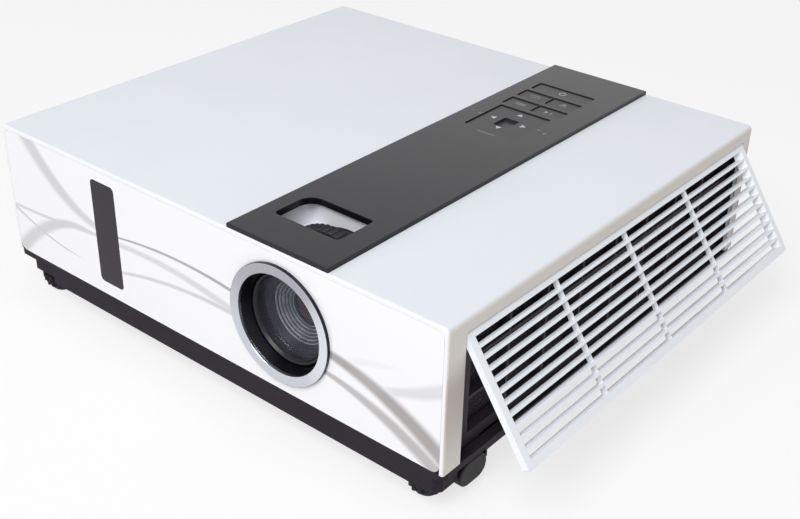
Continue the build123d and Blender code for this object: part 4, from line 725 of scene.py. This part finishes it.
# bare metal with faint tool marks
steel_bright = linear(176, 176, 180)
steel_darker = [c * 0.94 for c in steel_bright[:3]] + [1.0]
steel, shader, place = finish("steel", Metallic=1.0)
marks = place.noise(90.0, 3.0)
feed(shader, "Base Color", place.noise(14.0).blend(steel_bright, steel_darker))
feed(shader, "Roughness", marks * 0.08 + 0.28)
relief(shader, marks, 0.00001)
rubber_tones = linear(24, 22, 26), linear(40, 37, 42)
rubber_black = moulded("rubber_black", *rubber_tones, 0.62, 1400.0, 0.00008, **dull)
for side in ("left", "right"):
    low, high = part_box("foot_leg_" + side)
    centre = ((low[0] + high[0]) / 2, (low[1] + high[1]) / 2, low[2])
    tall = high[2] - low[2]
    head = (high[0] - low[0]) / 2
    head_low = tall - leg_head
    rows = [(0.0, leg_radius - point_chamfer, 0.0)]
    rows += thread_rows(point_chamfer, head_low - thread_runout, leg_radius)
    rows += [(head_low, leg_radius, 0.0), (head_low, head - head_break, 0.0)]
    rows += [(head_low + head_break, head, 0.0), (tall - crown_break, head, 0.0)]
    rows += [(tall, head - crown_break, 0.0)]
    leg = screwed("threaded_leg_" + side, "leg_" + side, centre, 2, rows, steel)
    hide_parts("foot_leg_" + side)
dress(rubber_black, "foot_wheel_left", "foot_wheel_right", "rear_foot_pads")


# ---------------------------------------------------------------- filter behind the door
# A dark grille frame clipped behind the service door, and the open-cell foam that it holds.

filter_tones = linear(46, 40, 46), linear(56, 50, 56)
dress(moulded("frame_dark", *filter_tones, 0.6, 1400.0, 0.00004, **dull), "filter_frame")
foam_step = 0.0028
foam_rough = 0.0004
foam_clear = 0.0004
foam_rounding = (0.0012, 0.0004, 0.0002)
foam_low, foam_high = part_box("filter_foam")
random = Random(7)
work = bmesh.new()
count_y = int((foam_high[1] - foam_low[1]) / foam_step)
count_z = int((foam_high[2] - foam_low[2]) / foam_step)
middle_x = (foam_low[0] + foam_high[0]) / 2


def foam_point(i, j, face):
    """Point of one large face: crowned, rough, and rounded off at the rim."""
    u, v = i / count_y, j / count_z
    rim = min(i, count_y - i, j, count_z - j)
    inward = foam_rounding[rim] if rim < len(foam_rounding) else 0.0
    depth = (foam_high[0] - middle_x - inward - random.random() * foam_rough) * face
    y = foam_low[1] + foam_clear + (foam_high[1] - foam_low[1] - 2 * foam_clear) * u
    z = foam_low[2] + foam_clear + (foam_high[2] - foam_low[2] - 2 * foam_clear) * v
    return (middle_x + depth, y, z)


faces = {}
for face in (-1, 1):
    grid = []
    for i in range(count_y + 1):
        grid.append([work.verts.new(foam_point(i, j, face)) for j in range(count_z + 1)])
    for i in range(count_y):
        for j in range(count_z):
            work.faces.new((grid[i][j], grid[i + 1][j], grid[i + 1][j + 1], grid[i][j + 1]))
    faces[face] = grid
rim_places = [(i, 0) for i in range(count_y)] + [(count_y, j) for j in range(count_z)]
rim_places += [(i, count_z) for i in range(count_y, 0, -1)] + [(0, j) for j in range(count_z, 0, -1)]
for (i, j), (k, m) in zip(rim_places, rim_places[1:] + rim_places[:1]):
    work.faces.new((faces[-1][i][j], faces[-1][k][m], faces[1][k][m], faces[1][i][j]))
foam_grey, shader, place = finish("foam_grey", Specular_IOR_Level=0.1)
foam_cells = {"Vector": place, "Scale": 620.0}
cells = place.add("ShaderNodeTexVoronoi", {"feature": "DISTANCE_TO_EDGE"}, foam_cells)
feed(shader, "Base Color", cells.smooth(0.0, 0.28).blend(linear(66, 60, 66), linear(34, 30, 35)))
feed(shader, "Roughness", place.noise(80.0) * 0.1 + 0.82)
relief(shader, cells.smooth(0.0, 0.3), 0.0003, 0.8)
foam = settle("open_cell_foam", work, "housing", foam_grey)
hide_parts("filter_foam")


# ---------------------------------------------------------------- rear sockets and mains inlet
# Black moulded sockets stand on the main board and look out through the rear panel.

socket_black = moulded("socket_black", linear(24, 24, 26), linear(36, 36, 38), 0.42, 1400.0, 0.00003)
dress(socket_black, "rear_sockets", "mains_inlet")


# ---------------------------------------------------------------- disc player
# A zinc-plated sheet case holds the drawer, its gear and rack, the turntable on its motor, and
# the pickup on two polished rails beside its screw.

zinc, shader, place = finish("zinc_sheet", Metallic=1.0)
spangles = {"Vector": place, "Scale": 130.0}
spangle = place.add("ShaderNodeTexVoronoi", {"feature": "F1"}, spangles, 1)
tone = spangle.split()[0] * 0.5 + place.noise(24.0, 4.0) * 0.5
feed(shader, "Base Color", tone.blend(linear(150, 153, 158), linear(186, 189, 193)))
feed(shader, "Roughness", tone * 0.16 + 0.3)
relief(shader, place.noise(240.0, 3.0), 0.00001)
dress(zinc, "drive_case", "spindle_motor", "hinge_pins")
tray_tones = linear(30, 30, 32), linear(42, 42, 45)
tray_black = moulded("tray_black", *tray_tones, 0.5, 1300.0, 0.00006)
dress(tray_black, "disc_tray", "turntable", "laser_pickup")
gear_tones = linear(226, 222, 208), linear(214, 209, 194)
gear_white = moulded("gear_white", *gear_tones, 0.36, 900.0, 0.00002)
dress(gear_white, "loading_gear", "nav_pivot")
dress(steel, "guide_rails", "case_screws")
low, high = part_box("feed_screw")
screw_start = (low[0], (low[1] + high[1]) / 2, (low[2] + high[2]) / 2)
screw_long = high[0] - low[0]
screw_radius = (high[2] - low[2]) / 2
journal, journal_radius = 0.0045, screw_radius * 0.55
rows = [(0.0, journal_radius, 0.0), (journal, journal_radius, 0.0)]
rows += thread_rows(journal, screw_long - journal, screw_radius)
rows += [(screw_long - journal, journal_radius, 0.0), (screw_long, journal_radius, 0.0)]
screw = screwed("threaded_screw", "feed_screw", screw_start, 0, rows, steel)
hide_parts("feed_screw")


# ---------------------------------------------------------------- light engine and lamp
# Die-cast housings of bare alloy, a glass prism with three panels round it, and a glass lamp with
# a bright reflector.

cast, shader, place = finish("cast_alloy", Metallic=0.85)
skin = place.noise(700.0, 4.0, 0.6)
feed(shader, "Base Color", place.noise(20.0, 3.0).blend(linear(142, 143, 147), linear(164, 165, 169)))
feed(shader, "Roughness", skin * 0.2 + 0.42)
relief(shader, skin, 0.00008)
dress(cast, "optics_housing", "lamp_housing")
prism_clear = {"Transmission_Weight": 1.0, "IOR": 1.52, "Base_Color": (0.92, 0.97, 0.98, 1.0)}
prism, shader, place = finish("prism_glass", **prism_clear)
feed(shader, "Roughness", place.noise(70.0, 3.0).smooth(0.55, 0.9) * 0.04)
dress(prism, "prism_block")
panel_glass, shader, place = finish("panel_glass", Coat_Weight=0.8, Coat_Roughness=0.03)
feed(shader, "Base Color", place.noise(90.0).blend(linear(40, 46, 62), linear(58, 58, 84)))
feed(shader, "Roughness", place.noise(50.0) * 0.08 + 0.1)
dress(panel_glass, "lcd_panels")
mirror, shader, place = finish("lamp_mirror", Metallic=1.0)
feed(shader, "Base Color", place.noise(40.0).blend(linear(214, 216, 226), linear(196, 202, 220)))
feed(shader, "Roughness", place.noise(260.0, 3.0) * 0.08 + 0.08)
relief(shader, place.noise(400.0), 0.00001)
dress(mirror, "projection_lamp")


# ---------------------------------------------------------------- fans, boards and speaker
# Two black axial fans, three green boards with their parts, and a small paper-cone speaker.

fan_black = moulded("fan_black", linear(30, 30, 33), linear(42, 42, 45), 0.46, 1300.0, 0.00004)
dress(fan_black, "intake_fan_frame", "exhaust_fan_frame")
blade_grey = moulded("blade_grey", linear(40, 40, 44), linear(52, 52, 56), 0.38, 1000.0, 0.00003)
dress(blade_grey, "intake_fan_rotor", "exhaust_fan_rotor")
cone_black = moulded("cone_black", linear(34, 33, 34), linear(50, 48, 49), 0.8, 700.0, 0.0001)
dress(cone_black, "speaker")
board_thick = 0.0016


def board(name, node):
    """Solder mask with copper runs under it; whatever stands on the board is dark or pale."""
    paint, shader, place = finish(name)
    x, y, z = place.split()
    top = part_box(node)[0][2] + board_thick
    part = z.smooth(top + 0.00005, top + 0.0002)
    runs = (place.noise(160.0, 1.0) * 14.0).only("FRACT").smooth(0.4, 0.5)
    kinds = place.noise(34.0, 0.0).smooth(0.47, 0.53)
    mask = runs.blend(linear(28, 84, 46), linear(38, 104, 60))
    feed(shader, "Base Color", part.blend(mask, kinds.blend(linear(32, 32, 34), linear(150, 148, 140))))
    feed(shader, "Roughness", runs * 0.08 + 0.3 + place.noise(60.0) * 0.1)
    relief(shader, runs, 0.00002)
    dress(paint, node)


board("supply_board", "power_supply")
board("logic_board", "main_board")
board("switch_board", "key_board")
